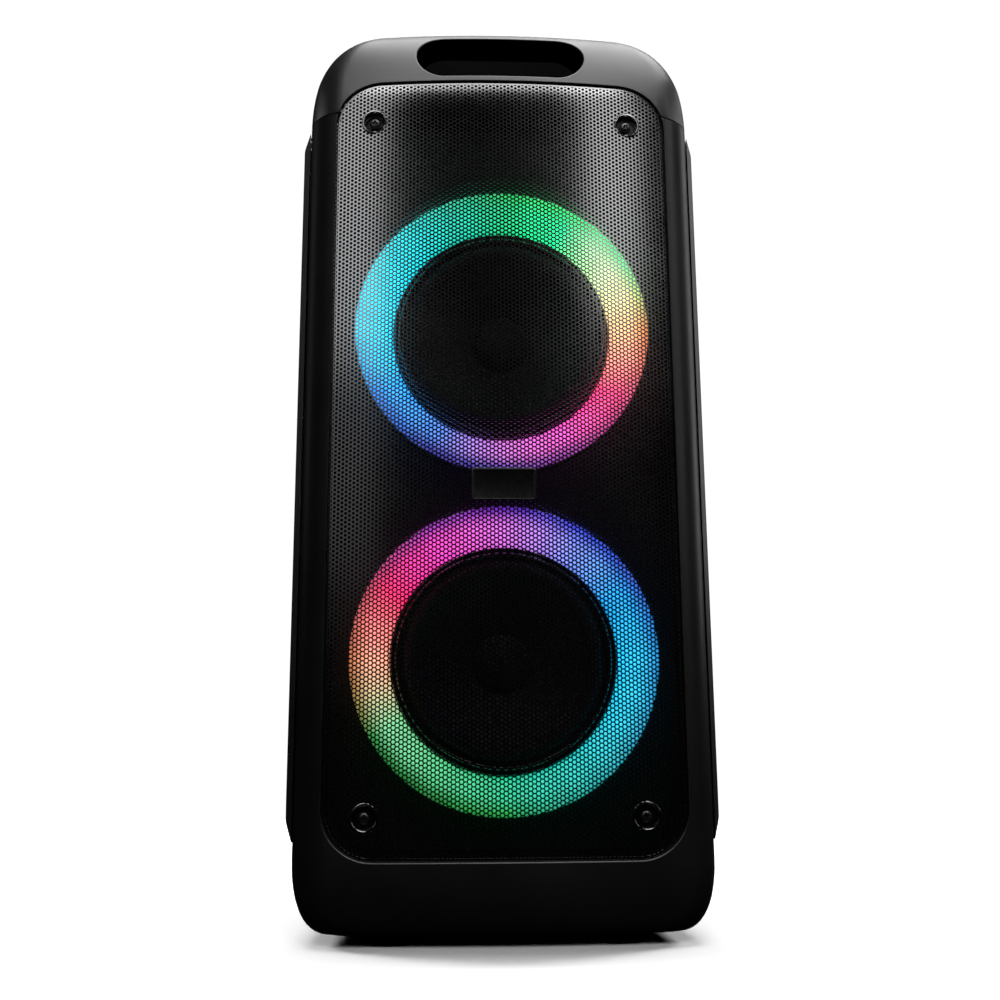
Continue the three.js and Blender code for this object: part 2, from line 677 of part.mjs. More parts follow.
for (const [place, z] of Object.entries(DRIVERS)) {
  addPart(`light_ring_${place}`, turnedAboutY(profiles.lightRing, z, FACETS.wide), FINISH.light());
  addPart(`led_board_${place}`, turnedAboutY(profiles.ledBoard, z, FACETS.wide), FINISH.board());
  addPart(`trim_ring_${place}`, turnedAboutY(profiles.trimRing, z, FACETS.wide), FINISH.gloss());
  const basket = cut(solid(turnedAboutY(profiles.basket, z, FACETS.round)), ...basketWindows(z));
  addPart(`basket_${place}`, geometryOf(basket), FINISH.steel());
  addPart(`magnet_${place}`, turnedAboutY(profiles.magnet, z, FACETS.round), FINISH.ferrite());
  addPart(`spider_${place}`, turnedAboutY(profiles.spider, z, FACETS.round), FINISH.cloth());
  addPart(`surround_${place}`, turnedAboutY(surroundProfile(), z, FACETS.round), FINISH.rubber());
  addPart(`cone_${place}`, turnedAboutY(profiles.cone, z, FACETS.round), FINISH.paper());
  addPart(`dust_cap_${place}`, turnedAboutY(dustCapProfile(), z, FACETS.small), FINISH.paper());
  addPart(`voice_coil_${place}`, turnedAboutY(profiles.voiceCoil, z, FACETS.small), FINISH.copper());
}

// ---------------------------------------------------------------- control panel on the top cap

const panelBottom = PANEL.z - PANEL.thickness;
const keyHole = (x, grow) => rectangle(
  x - KEY.halfWidth - grow,
  KEY.y - KEY.halfDepth - grow,
  x + KEY.halfWidth + grow,
  KEY.y + KEY.halfDepth + grow,
);
const displayShape = (grow) => roundedRectangle(
  -DISPLAY.halfWidth - grow,
  DISPLAY.front - grow,
  DISPLAY.halfWidth + grow,
  DISPLAY.rear + grow,
  2,
);
const knobPlaces = Object.values(KNOBS);
const shaftHole = ({ x, y }, from, to) => (
  solid(alongZ(circle(x, y, SHAFT.radius + SHAFT.clearance), from, to, SHAFT.facets))
);

const controlPanel = cut(
  solid(alongZ(panelShape(GAP), panelBottom, PANEL.z, 5)),
  ...knobPlaces.map((knob) => shaftHole(knob, PANEL.z - CUTTER, PANEL.z + CUTTER)),
  ...KEY.columns.map((x) => solid(alongZ(keyHole(x, GAP), PANEL.z - CUTTER, PANEL.z + CUTTER))),
  solid(alongZ(displayShape(GAP), PANEL.z - CUTTER, PANEL.z + CUTTER, 3)),
);
addPart('control_panel', geometryOf(controlPanel), FINISH.gloss());
addPart(
  'display_lens',
  alongZ(displayShape(0), PANEL.z - DISPLAY.thickness, PANEL.z + 0.2, 3),
  FINISH.gloss(),
);

const boardTop = CONTROL_BOARD.top;
const controlBoard = cut(
  join(
    solid(boxBetween(
      [-CONTROL_BOARD.halfWidth, CONTROL_BOARD.front, boardTop - CONTROL_BOARD.thickness],
      [CONTROL_BOARD.halfWidth, CONTROL_BOARD.rear, boardTop],
    )),
    ...knobPlaces.map(({ x, y }) => (
      solid(alongZ(circle(x, y, POT_RADIUS), boardTop - 0.5, panelBottom - GAP, SHAFT.facets))
    )),
  ),
  ...knobPlaces.map((knob) => shaftHole(knob, SHAFT.bottom - GAP, PANEL.z)),
);
addPart('control_board', geometryOf(controlBoard), FINISH.board());

for (const [name, { x, y, radius, top }] of Object.entries(KNOBS)) {
  const bottom = PANEL.z + GAP;
  const turned = solid(turnedAboutZ([
    [0, SHAFT.bottom],
    [SHAFT.radius, SHAFT.bottom],
    [SHAFT.radius, bottom],
    [radius, bottom],
    [radius - 0.8, top - 1],
    [radius - 1.8, top],
    [0, top],
  ], x, y, FACETS.round));
  const pointer = solid(boxBetween(
    [x - 0.8, y + radius * 0.45, top - 0.8],
    [x + 0.8, y + radius + 2, top + 5],
  ));
  addPart(name, geometryOf(cut(turned, pointer)), FINISH.key());
}

KEY.columns.forEach((x, i) => {
  const cap = alongZ(keyHole(x, 0), PANEL.z - KEY.drop - 1, PANEL.z + KEY.rise);
  const flange = alongZ(keyHole(x, KEY.flange), PANEL.z - KEY.drop - 1.6, PANEL.z - KEY.drop);
  addPart(`key_${i + 1}`, geometryOf(join(solid(cap), solid(flange))), FINISH.key());
});

// ---------------------------------------------------------------- rear connection panel

const panelBack = REAR_Y;
const panelInner = panelBack - REAR_PANEL.thickness;
const usbShape = (grow) => rectangle(
  USB.x - USB.halfWidth - grow,
  USB.z - USB.halfHeight - grow,
  USB.x + USB.halfWidth + grow,
  USB.z + USB.halfHeight + grow,
);
const inletShape = (grow) => rectangle(
  INLET.x - INLET.halfWidth - grow,
  INLET.z - INLET.halfHeight - grow,
  INLET.x + INLET.halfWidth + grow,
  INLET.z + INLET.halfHeight + grow,
);
const rockerShape = (grow) => rectangle(
  ROCKER.x - ROCKER.halfWidth - grow,
  ROCKER.z - ROCKER.halfHeight - grow,
  ROCKER.x + ROCKER.halfWidth + grow,
  ROCKER.z + ROCKER.halfHeight + grow,
);
const jackPlaces = Object.values(JACKS);
const connectionPanel = cut(
  solid(alongY(rearPanelShape(GAP), panelInner, panelBack, 5)),
  solid(alongY(usbShape(GAP), 0, OUTSIDE)),
  solid(alongY(inletShape(GAP), 0, OUTSIDE)),
  solid(alongY(rockerShape(ROCKER.clearance), 0, OUTSIDE)),
  ...jackPlaces.map(({ x, z }) => solid(alongY(circle(x, z, JACK.nut + GAP), 0, OUTSIDE, FACETS.small))),
);
addPart('connection_panel', geometryOf(connectionPanel), FINISH.shell());

for (const [name, { x, z }] of Object.entries(JACKS)) {
  const socket = turnedAboutY([
    [0, panelBack - JACK.depth],
    [JACK.nut, panelBack - JACK.depth],
    [JACK.nut, panelBack - 0.8],
    [JACK.nut - 0.8, panelBack],
    [JACK.bore, panelBack],
    [JACK.bore, panelBack - JACK.depth + 2],
    [0, panelBack - JACK.depth + 2],
  ], z, FACETS.small);
  addPart(name, socket, FINISH.gloss(), [x, 0, 0]);
}

const usbTongue = boxBetween(
  [USB.x - USB.tongue.halfWidth, panelBack - USB.depth + 1, USB.z + USB.tongue.bottom],
  [USB.x + USB.tongue.halfWidth, panelBack - USB.tongue.set, USB.z + USB.tongue.top],
);
const usbSocket = join(
  cut(
    solid(alongY(usbShape(0), panelBack - USB.depth, panelBack)),
    solid(boxBetween(
      [USB.x - USB.slot.halfWidth, panelBack - USB.depth + 2, USB.z - USB.slot.halfHeight],
      [USB.x + USB.slot.halfWidth, OUTSIDE, USB.z + USB.slot.halfHeight],
    )),
  ),
  solid(usbTongue),
);
addPart('usb_socket', geometryOf(usbSocket), FINISH.metal());

const inletPin = (offset) => solid(boxBetween(
  [INLET.x + offset - INLET.pin, panelBack - INLET.depth + 1, INLET.z - INLET.pin],
  [INLET.x + offset + INLET.pin, panelBack - 5, INLET.z + INLET.pin],
));
const inletWell = { halfWidth: INLET.halfWidth - INLET.wall, halfHeight: INLET.halfHeight - INLET.wall };
const inlet = join(
  cut(
    solid(alongY(inletShape(0), panelBack - INLET.depth, panelBack)),
    solid(boxBetween(
      [INLET.x - inletWell.halfWidth, panelBack - INLET.depth + 2, INLET.z - inletWell.halfHeight],
      [INLET.x + inletWell.halfWidth, OUTSIDE, INLET.z + inletWell.halfHeight],
    )),
  ),
  inletPin(-INLET.pinX),
  inletPin(INLET.pinX),
);
addPart('mains_inlet', geometryOf(inlet), FINISH.shell());

// The rocker is a shallow vee on a cross pivot, stored with its upper end out.
const rockerSide = outline([
  [-3, -5],
  [-3, 5],
  [1.4, ROCKER.halfHeight - 1],
  [4.6, ROCKER.halfHeight - 1],
  [2.8, 0],
  [4.6, -ROCKER.halfHeight + 1],
  [1.4, -ROCKER.halfHeight + 1],
]);
const rocker = addPart(
  'power_rocker',
  alongX(rockerSide, -ROCKER.halfWidth + 0.4, ROCKER.halfWidth - 0.4),
  FINISH.gloss(),
  [ROCKER.x, panelBack - ROCKER.pivotDepth, ROCKER.z],
);
rocker.rotation.x = -ROCKER.tilt;

const portInner = REAR_Y - PORT.length;
addPart('bass_port', turnedAboutY([
  [PORT.radius, portInner],
  [PORT.radius + PORT.wall, portInner],
  [PORT.radius + PORT.wall, REAR_Y],
  [PORT.radius + PORT.wall - 1, REAR_Y],
  [PORT.radius, REAR_Y - PORT.flare],
], PORT.z, FACETS.round), FINISH.shell());

// ---------------------------------------------------------------- inner units

addPart('battery_pack', boxBetween(...BATTERY), FINISH.battery());
addPart('light_controller', boxBetween(...LIGHT_CONTROLLER), FINISH.board());

const capacitor = ([x, z]) => (
  solid(alongY(circle(x, z, CAPACITORS.radius), CAPACITORS.from, CAPACITORS.to))
);
const amplifier = join(
  solid(boxBetween(...AMPLIFIER)),
  ...CAPACITORS.centres.map(capacitor),
);
addPart('amplifier_board', geometryOf(amplifier), FINISH.board());

const sinkPitch = (HEAT_SINK.high[0] - HEAT_SINK.low[0] - HEAT_SINK.finWidth) / (HEAT_SINK.fins - 1);
const heatSink = join(
  solid(boxBetween(HEAT_SINK.low, HEAT_SINK.high)),
  ...Array.from({ length: HEAT_SINK.fins }, (_, i) => {
    const x = HEAT_SINK.low[0] + i * sinkPitch;
    return solid(boxBetween(
      [x, HEAT_SINK.low[1] - HEAT_SINK.finDepth, HEAT_SINK.low[2]],
      [x + HEAT_SINK.finWidth, HEAT_SINK.low[1] + 1, HEAT_SINK.high[2]],
    ));
  }),
);
addPart('heat_sink', geometryOf(heatSink), FINISH.metal());

const supply = join(
  solid(boxBetween(POWER_SUPPLY[0], [POWER_SUPPLY[1][0], POWER_SUPPLY[1][1], POWER_SUPPLY[0][2] + 2])),
  solid(boxBetween(...TRANSFORMER)),
  solid(alongZ(
    circle(SMOOTHING_CAN.x, SMOOTHING_CAN.y, SMOOTHING_CAN.radius),
    FLOOR_Z + 1,
    SMOOTHING_CAN.top,
    FACETS.small,
  )),
);
addPart('power_supply', geometryOf(supply), FINISH.board());

// ---------------------------------------------------------------- feet

[[-1, -1], [1, -1], [-1, 1], [1, 1]].forEach(([sideX, sideY], i) => {
  const foot = turnedAboutZ([
    [0, 0],
    [FOOT.radius - 2, 0],
    [FOOT.radius, 2],
    [FOOT.radius, FOOT.height],
    [0, FOOT.height],
  ], sideX * FOOT.x, sideY * FOOT.y, FACETS.round);
  addPart(`foot_${i + 1}`, foot, FINISH.rubber());
});

export default speaker;
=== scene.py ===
"""Party speaker: the looks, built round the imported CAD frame.

Lengths in this script are millimetres until a mesh is made. The front faces -Y, +X is on the right of
someone who looks at the front, and the origin is on the floor under the middle of the body.
"""

import math

import bmesh
import bpy
import numpy as np
from mathutils import Matrix, Vector


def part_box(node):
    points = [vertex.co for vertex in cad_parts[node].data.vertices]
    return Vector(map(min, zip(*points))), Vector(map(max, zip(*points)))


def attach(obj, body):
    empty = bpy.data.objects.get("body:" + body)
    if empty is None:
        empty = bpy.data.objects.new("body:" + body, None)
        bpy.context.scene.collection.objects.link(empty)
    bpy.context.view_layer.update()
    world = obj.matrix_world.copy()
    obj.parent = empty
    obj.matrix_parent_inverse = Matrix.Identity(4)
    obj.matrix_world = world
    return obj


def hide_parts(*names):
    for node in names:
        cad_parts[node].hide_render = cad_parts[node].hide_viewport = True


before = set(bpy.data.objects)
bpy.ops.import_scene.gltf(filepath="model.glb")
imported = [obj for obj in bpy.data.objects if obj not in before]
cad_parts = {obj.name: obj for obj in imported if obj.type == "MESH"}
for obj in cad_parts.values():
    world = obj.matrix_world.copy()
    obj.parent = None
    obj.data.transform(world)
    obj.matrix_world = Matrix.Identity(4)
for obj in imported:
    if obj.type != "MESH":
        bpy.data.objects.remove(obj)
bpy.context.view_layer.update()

MM = 0.001


def extent(name):
    """Lowest and highest corner of a CAD node, in millimetres."""
    low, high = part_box(name)
    return [v / MM for v in low], [v / MM for v in high]


def middle(name):
    low, high = extent(name)
    return [(a + b) / 2 for a, b in zip(low, high)]


def across(name):
    """Half the width of a CAD node: the radius of a round one."""
    low, high = extent(name)
    return (high[0] - low[0]) / 2


# ---- sizes taken from the frame

CAP_LOW, CAP_HIGH = extent("top_cap")
FRONT_LOW, FRONT_HIGH = extent("front_cabinet")
REAR_LOW, REAR_HIGH = extent("rear_cabinet")
GRILLE_LOW, GRILLE_HIGH = extent("front_grille")
PANEL_LOW, PANEL_HIGH = extent("control_panel")
SOCKETS_LOW, SOCKETS_HIGH = extent("connection_panel")

GAP = 0.3
SHELL_HEIGHT = 692.5
HALF_WIDTH = CAP_HIGH[0]
FRONT_Y = FRONT_LOW[1]
REAR_Y = REAR_HIGH[1]
BASE_Z = FRONT_LOW[2]
SEAM_Z = FRONT_HIGH[2]
CAP_Z = CAP_LOW[2]
CROWN_Z = BASE_Z + SHELL_HEIGHT
SPLIT = (FRONT_HIGH[1], REAR_LOW[1])

# The enclosure's curves, as moulded
FRONT_RADIUS = 716
FRONT_CORNER = 32
REAR_CORNER = 30
WALL = 4
FRONT_WALL = 8
FOOT_ROUND = {"side": 22, "front": 10, "rear": 16, "height": 46}
SHOULDER = {"side": 52, "front": 60, "rear": 40, "height": 91, "sweep": math.radians(84)}
SHOULDER_PULL = 1 - math.cos(SHOULDER["sweep"])
CROWN_EDGE = SEAM_Z + SHOULDER["height"] * math.sin(SHOULDER["sweep"])
CROWN_INSET = 96
SEAM_EDGE = [(0, 1.0), (0.3, 0.3), (1.0, 0)]  # height from the seam and how far the edge is rounded in

GRILLE = {
    "half_width": GRILLE_HIGH[0] + GAP,
    "bottom": GRILLE_LOW[2] - GAP,
    "top": GRILLE_HIGH[2] + GAP,
    "corner": 35,
    "recess": 1.6,
    "sheet": 0.8,
    "pitch": 3.15,
    "hole": 1.25,
    "border": 2.4,
}
SEAT_DEPTH = 3.8
LIP = 6
DIMPLE = {"radius": 8, "flange": 10}

EDGES = {"grille": 1.2, "sockets": 1.2, "slot": 1.4, "pocket": 3, "panel": 1}  # how far each edge is rounded
SLOT = {"half_width": 64.5, "bottom": 634, "top": 678}
THROAT = {"side": 4, "below": 3.5, "corner": 12}
POCKET = {"half_width": 84, "front": -104, "rear": -76, "floor": 632, "corner": 12, "wall": 3}
PANEL_LEDGE = 5
PANEL_CORNER = 12
SOCKETS_LEDGE = 8
SOCKETS_CORNER = 10
SOCKETS_SCREWS = [(x, z) for x in (-80, 80) for z in (98, 210, 322)]
INSIDE_REAR = 138  # in front of the rear wall and the sockets plate

GUARD_RISE = 5.6
GUARD_SLOPES = {"edge": GUARD_RISE / 11, "bottom": GUARD_RISE / 14, "top": GUARD_RISE / 9}

CONE_NECK = 14.4
CREASE = math.radians(35)  # edges sharper than this stay crisp
FAR = 400  # past the object on every side


# ---- meshes


def mesh_of(points, faces):
    mesh = bpy.data.meshes.new("made")
    mesh.from_pydata([(x * MM, y * MM, z * MM) for x, y, z in points], [], faces)
    mesh.update()
    return mesh


def place(axis, u, v, w):
    """A point from its two coordinates across an axis and its height along it."""
    return (u, w, v) if axis == "Y" else (u, v, w) if axis == "Z" else (w, u, v)


def stack(outline, levels, axis="Z", closed=False):
    """A solid with one ring for each level, or a closed moulding that runs round the outline. A level is how
    far the outline grows, and the ring's height: a number, or a function of the point."""
    points = []
    for grow, height in levels:
        for u, v in outline(grow):
            w = height(u, v) if callable(height) else height
            points.append(place(axis, u, v, w))
    return mesh_of(points, ring_faces(len(levels), len(points) // len(levels), closed))


def prism(outline, low, high, axis="Z"):
    """A straight-sided solid between two heights."""
    return stack(outline, [(0, low), (0, high)], axis)


def ring_faces(levels, count, closed):
    """Quads between rings of points: capped at both ends, or joined from the last ring to the first."""
    faces = []
    for level in range(levels if closed else levels - 1):
        above = (level + 1) % levels
        for i in range(count):
            j = (i + 1) % count
            faces.append((level * count + i, level * count + j, above * count + j, above * count + i))
    if not closed:
        faces.append(tuple(reversed(range(count))))
        faces.append(tuple(range((levels - 1) * count, levels * count)))
    return faces


def turned(profile, centre, axis="Y", segments=96, flutes=0, flute_depth=0.0):
    """A profile of (radius, height) turned round an axis; it either starts and ends on the axis or closes on
    itself. Flutes pull the radius in evenly round the piece wherever the profile has a third value of 1."""
    on_axis = profile[0][0] == 0 and profile[-1][0] == 0
    ringed = profile[1:-1] if on_axis else profile
    points = []
    for radius, height, *marked in ringed:
        for i in range(segments):
            angle = 2 * math.pi * i / segments
            pull = flute_depth * (0.5 - 0.5 * math.cos(flutes * angle)) if marked and marked[0] else 0
            u = centre[0] + (radius - pull) * math.cos(angle)
            v = centre[1] + (radius - pull) * math.sin(angle)
            points.append(place(axis, u, v, height))
    faces = ring_faces(len(ringed), segments, closed=not on_axis)
    if on_axis:
        faces = faces[:-2]
        for end, ring_start in ((profile[0], 0), (profile[-1], (len(ringed) - 1) * segments)):
            apex = len(points)
            points.append(place(axis, centre[0], centre[1], end[1]))
            for i in range(segments):
                j = (i + 1) % segments
                faces.append((ring_start + i, ring_start + j, apex))
    return mesh_of(points, faces)


def in_scene(name, data):
    made = bpy.data.objects.new(name, data)
    bpy.context.scene.collection.objects.link(made)
    return made


def outward(mesh, merge=0.0):
    """Turns every face outward, after merging points that are closer than given."""
    work = bmesh.new()
    work.from_mesh(mesh)
    if merge:
        bmesh.ops.remove_doubles(work, verts=work.verts, dist=merge * MM)
    bmesh.ops.recalc_face_normals(work, faces=work.faces)
    work.to_mesh(mesh)
    work.free()
    return mesh


def carve(base, *tools, operation="DIFFERENCE"):
    """The base with each tool cut away, or with operation INTERSECT or UNION."""
    holder = in_scene("base", outward(base))
    cutters = [in_scene("tool", outward(tool)) for tool in tools]
    for cutter in cutters:
        cut = holder.modifiers.new("cut", "BOOLEAN")
        cut.object = cutter
        cut.operation = operation
        cut.solver = "MANIFOLD"
    depsgraph = bpy.context.evaluated_depsgraph_get()
    result = bpy.data.meshes.new_from_object(holder.evaluated_get(depsgraph))
    for spare in [holder, *cutters]:
        mesh = spare.data
        bpy.data.objects.remove(spare)
        bpy.data.meshes.remove(mesh)
    return result


def piece(name, mesh, material, replaced=(), body="enclosure", weighted=False, merge=0.0):
    """A finished piece: smooth faces with crisp edges, its material, the CAD nodes it stands for, and the
    body it rides on. Weighted normals keep large flat faces flat beside their rounded edges."""
    outward(mesh, merge)
    mesh.name = name
    mesh.shade_smooth()
    mesh.set_sharp_from_angle(angle=CREASE)
    mesh.materials.clear()
    mesh.materials.append(material)
    made = in_scene(name, mesh)
    if weighted:
        made.modifiers.new("weighted normals", "WEIGHTED_NORMAL").keep_sharp = True
    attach(made, body)
    if replaced:
        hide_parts(*replaced)
    return made


# ---- outlines


def arc(cx, cy, radius, start, end, steps):
    angles = np.linspace(start, end, steps + 1)
    return [(cx + radius * math.cos(a), cy + radius * math.sin(a)) for a in angles]


def spread(points, longest):
    """The outline with points added so that no side is longer than given."""
    out = []
    for (u0, v0), (u1, v1) in zip(points, points[1:] + points[:1]):
        parts = max(1, math.ceil(math.hypot(u1 - u0, v1 - v0) / longest))
        out += [(u0 + (u1 - u0) * k / parts, v0 + (v1 - v0) * k / parts) for k in range(parts)]
    return out


def rounded(u0, v0, u1, v1, radius, longest=500, steps=14):
    """An outline function for a rounded rectangle. The points keep their number as the outline grows."""
    quarter = math.pi / 2
    right, left, top, bottom = u1 - radius, u0 + radius, v1 - radius, v0 + radius
    plain = []
    for k, (cu, cv) in enumerate([(right, bottom), (right, top), (left, top), (left, bottom)]):
        plain += arc(cu, cv, radius, (k - 1) * quarter, k * quarter, steps)
    base = spread(plain, longest)

    def grown(by):
        cu, cv = (u0 + u1) / 2, (v0 + v1) / 2
        half_u, half_v = (u1 - u0) / 2 - radius, (v1 - v0) / 2 - radius
        scale = max(radius + by, 0.01) / radius
        out = []
        for u, v in base:
            flat_u = min(max(u - cu, -half_u), half_u)
            flat_v = min(max(v - cv, -half_v), half_v)
            out.append((cu + flat_u + (u - cu - flat_u) * scale, cv + flat_v + (v - cv - flat_v) * scale))
        return out

    return grown


def round_node(name, corner, grow=0.0, axis="Z", longest=500, steps=14):
    """A rounded outline round a CAD node, as seen along an axis."""
    low, high = extent(name)
    v = 2 if axis == "Y" else 1
    return rounded(low[0] - grow, low[v] - grow, high[0] + grow, high[v] + grow, corner, longest, steps)


def disc(cu, cv, radius, steps=96):
    return lambda by: arc(cu, cv, radius + by, 0, 2 * math.pi, steps)[:-1]


def fillet(radius, start=20, steps=6):
    """Growth and depth down a rounded edge, from just outside the surface to the end of the round."""
    tilt = math.radians(start)
    first = (radius * (1 - math.sin(tilt)), radius * (1 - math.cos(tilt)))
    outside = (first[0] + 1.5 * radius * math.cos(tilt), first[1] - 1.5 * radius * math.sin(tilt))
    angles = np.linspace(tilt, math.pi / 2, steps + 1)
    return [outside] + [(radius * (1 - math.sin(a)), radius * (1 - math.cos(a))) for a in angles]


def opening(outline, skin_at, radius, outside, levels, axis):
    """A cutter for an opening with a rounded edge: from outside the skin, round its edge, down the levels."""
    rounding = [(grow, skin_at(depth)) for grow, depth in fillet(radius)]
    return stack(outline, [(rounding[0][0], outside), *rounding, *levels], axis)


# ---- the enclosure's skin


def shoulder_inset(z):
    """How far the front of the cap has curved back at a height."""
    if z <= SEAM_Z:
        return 0.0
    rise = min((z - SEAM_Z) / SHOULDER["height"], math.sin(SHOULDER["sweep"]))
    return SHOULDER["front"] * (1 - math.cos(math.asin(rise)))


def front_skin(x, z):
    """Y of the front surface."""
    return FRONT_Y + shoulder_inset(z) + FRONT_RADIUS - math.sqrt(FRONT_RADIUS**2 - x * x)


def crown_height(part):
    """Z of the crown, part of the way from its edge to its top."""
    return CROWN_EDGE + (CROWN_Z - CROWN_EDGE) * (1 - (1 - part) ** 2)


def crown_skin(x, y):
    """Z of the crown of the cap."""
    sag = FRONT_RADIUS - math.sqrt(FRONT_RADIUS**2 - x * x)
    inward = min(
        y - FRONT_Y - SHOULDER["front"] * SHOULDER_PULL - sag,
        REAR_Y - SHOULDER["rear"] * SHOULDER_PULL - y,
        HALF_WIDTH - SHOULDER["side"] * SHOULDER_PULL - abs(x),
    )
    return crown_height(min(max(inward / CROWN_INSET, 0), 1))


def plan(side, front, rear, front_steps=44, corner_steps=14):
    """The enclosure's outline from above, set in by these amounts."""
    half = HALF_WIDTH - side
    front_y = FRONT_Y + front
    rear_y = REAR_Y - rear
    shrink = min(side, WALL)
    corner = FRONT_CORNER - shrink
    rear_corner = REAR_CORNER - shrink
    reach = math.sqrt((FRONT_RADIUS - corner) ** 2 - (half - corner) ** 2)
    corner_y = front_y + FRONT_RADIUS - reach
    lean = math.asin((half - corner) / (FRONT_RADIUS - corner))
    down = -math.pi / 2
    back_y = rear_y - rear_corner
    points = arc(0, front_y + FRONT_RADIUS, FRONT_RADIUS, down - lean, down + lean, front_steps)
    points += arc(half - corner, corner_y, corner, down + lean, 0, corner_steps)[1:]
    points += arc(half - rear_corner, back_y, rear_corner, 0, math.pi / 2, corner_steps)
    points += arc(rear_corner - half, back_y, rear_corner, math.pi / 2, math.pi, corner_steps)
    points += arc(corner - half, corner_y, corner, math.pi, 1.5 * math.pi - lean, corner_steps)[:-1]
    return points


def inset_level(z, shape, pull, depth, front_depth, crown=0):
    """A height, and how far the side, front and rear are set in there. Depth is measured inwards."""
    side, front, rear = (shape[k] * pull + crown for k in ("side", "front", "rear"))
    return z, side + depth, front + front_depth, rear + depth


def foot_levels(depth, front_depth, steps=12):
    """Levels from the underside up to where the sides are upright."""
    levels = []
    for angle in np.linspace(math.pi / 2, 0, steps + 1):
        z = BASE_Z + FOOT_ROUND["height"] - (FOOT_ROUND["height"] - depth) * math.sin(angle)
        levels.append(inset_level(z, FOOT_ROUND, 1 - math.cos(angle), depth, front_depth))
    return levels


def cap_levels(depth, front_depth, steps=26, crown_steps=8):
    """Levels from the seam over the shoulders, and on up the crown."""
    levels = []
    for angle in np.linspace(0, SHOULDER["sweep"], steps + 1):
        z = SEAM_Z + (SHOULDER["height"] - depth) * math.sin(angle)
        levels.append(inset_level(z, SHOULDER, 1 - math.cos(angle), depth, front_depth))
    for part in np.linspace(0, 1, crown_steps + 1)[1:]:
        z = crown_height(part) - depth
        levels.append(inset_level(z, SHOULDER, SHOULDER_PULL, depth, front_depth, CROWN_INSET * part))
    return levels


def skin(levels):
    """A closed solid through the plans of the enclosure at these levels."""
    points = []
    for z, side, front, rear in levels:
        points += [(x, y, z) for x, y in plan(side, front, rear)]
    return mesh_of(points, ring_faces(len(levels), len(points) // len(levels), closed=False))


def block(low, high):
    (x0, y0, z0), (x1, y1, z1) = low, high
    square = lambda by: [(x0 - by, y0 - by), (x1 + by, y0 - by), (x1 + by, y1 + by), (x0 - by, y1 + by)]
    return prism(square, z0, z1)


def on_front(depth):
    return lambda x, z: front_skin(x, z) + depth


def on_crown(depth):
    return lambda x, y: crown_skin(x, y) - depth


def on_rear(depth):
    return REAR_Y - depth


# ---- materials


def node(tree, kind, inputs=None, **settings):
    made = tree.nodes.new(kind)
    for key, value in settings.items():
        setattr(made, key, value)
    for key, value in (inputs or {}).items():
        if isinstance(value, bpy.types.NodeSocket):
            tree.links.new(value, made.inputs[key])
        else:
            made.inputs[key].default_value = value
    return made


def math_node(tree, operation, a, b=0.0):
    return node(tree, "ShaderNodeMath", {0: a, 1: b}, operation=operation).outputs[0]


def ramp(tree, factor, stops):
    made = node(tree, "ShaderNodeValToRGB", {"Fac": factor})
    elements = made.color_ramp.elements
    while len(elements) < len(stops):
        elements.new(0.5)
    for element, (position, colour) in zip(elements, stops):
        element.position = position
        element.color = (*colour, 1)
    return made.outputs["Color"]


def spread_to(tree, value, low, high, start=0.0, end=1.0):
    inputs = {"Value": value, "From Min": start, "From Max": end, "To Min": low, "To Max": high}
    return node(tree, "ShaderNodeMapRange", inputs).outputs["Result"]


def noise(tree, where, scale, detail=3.0, roughness=0.55):
    inputs = {"Vector": where, "Scale": scale, "Detail": detail, "Roughness": roughness}
    return node(tree, "ShaderNodeTexNoise", inputs).outputs["Fac"]


def mix_colour(tree, factor, first, second):
    return node(tree, "ShaderNodeMixRGB", {"Fac": factor, "Color1": first, "Color2": second}).outputs["Color"]


def new_material(name):
    material = bpy.data.materials.new(name)
    material.use_nodes = True
    return material, material.node_tree, material.node_tree.nodes["Principled BSDF"]


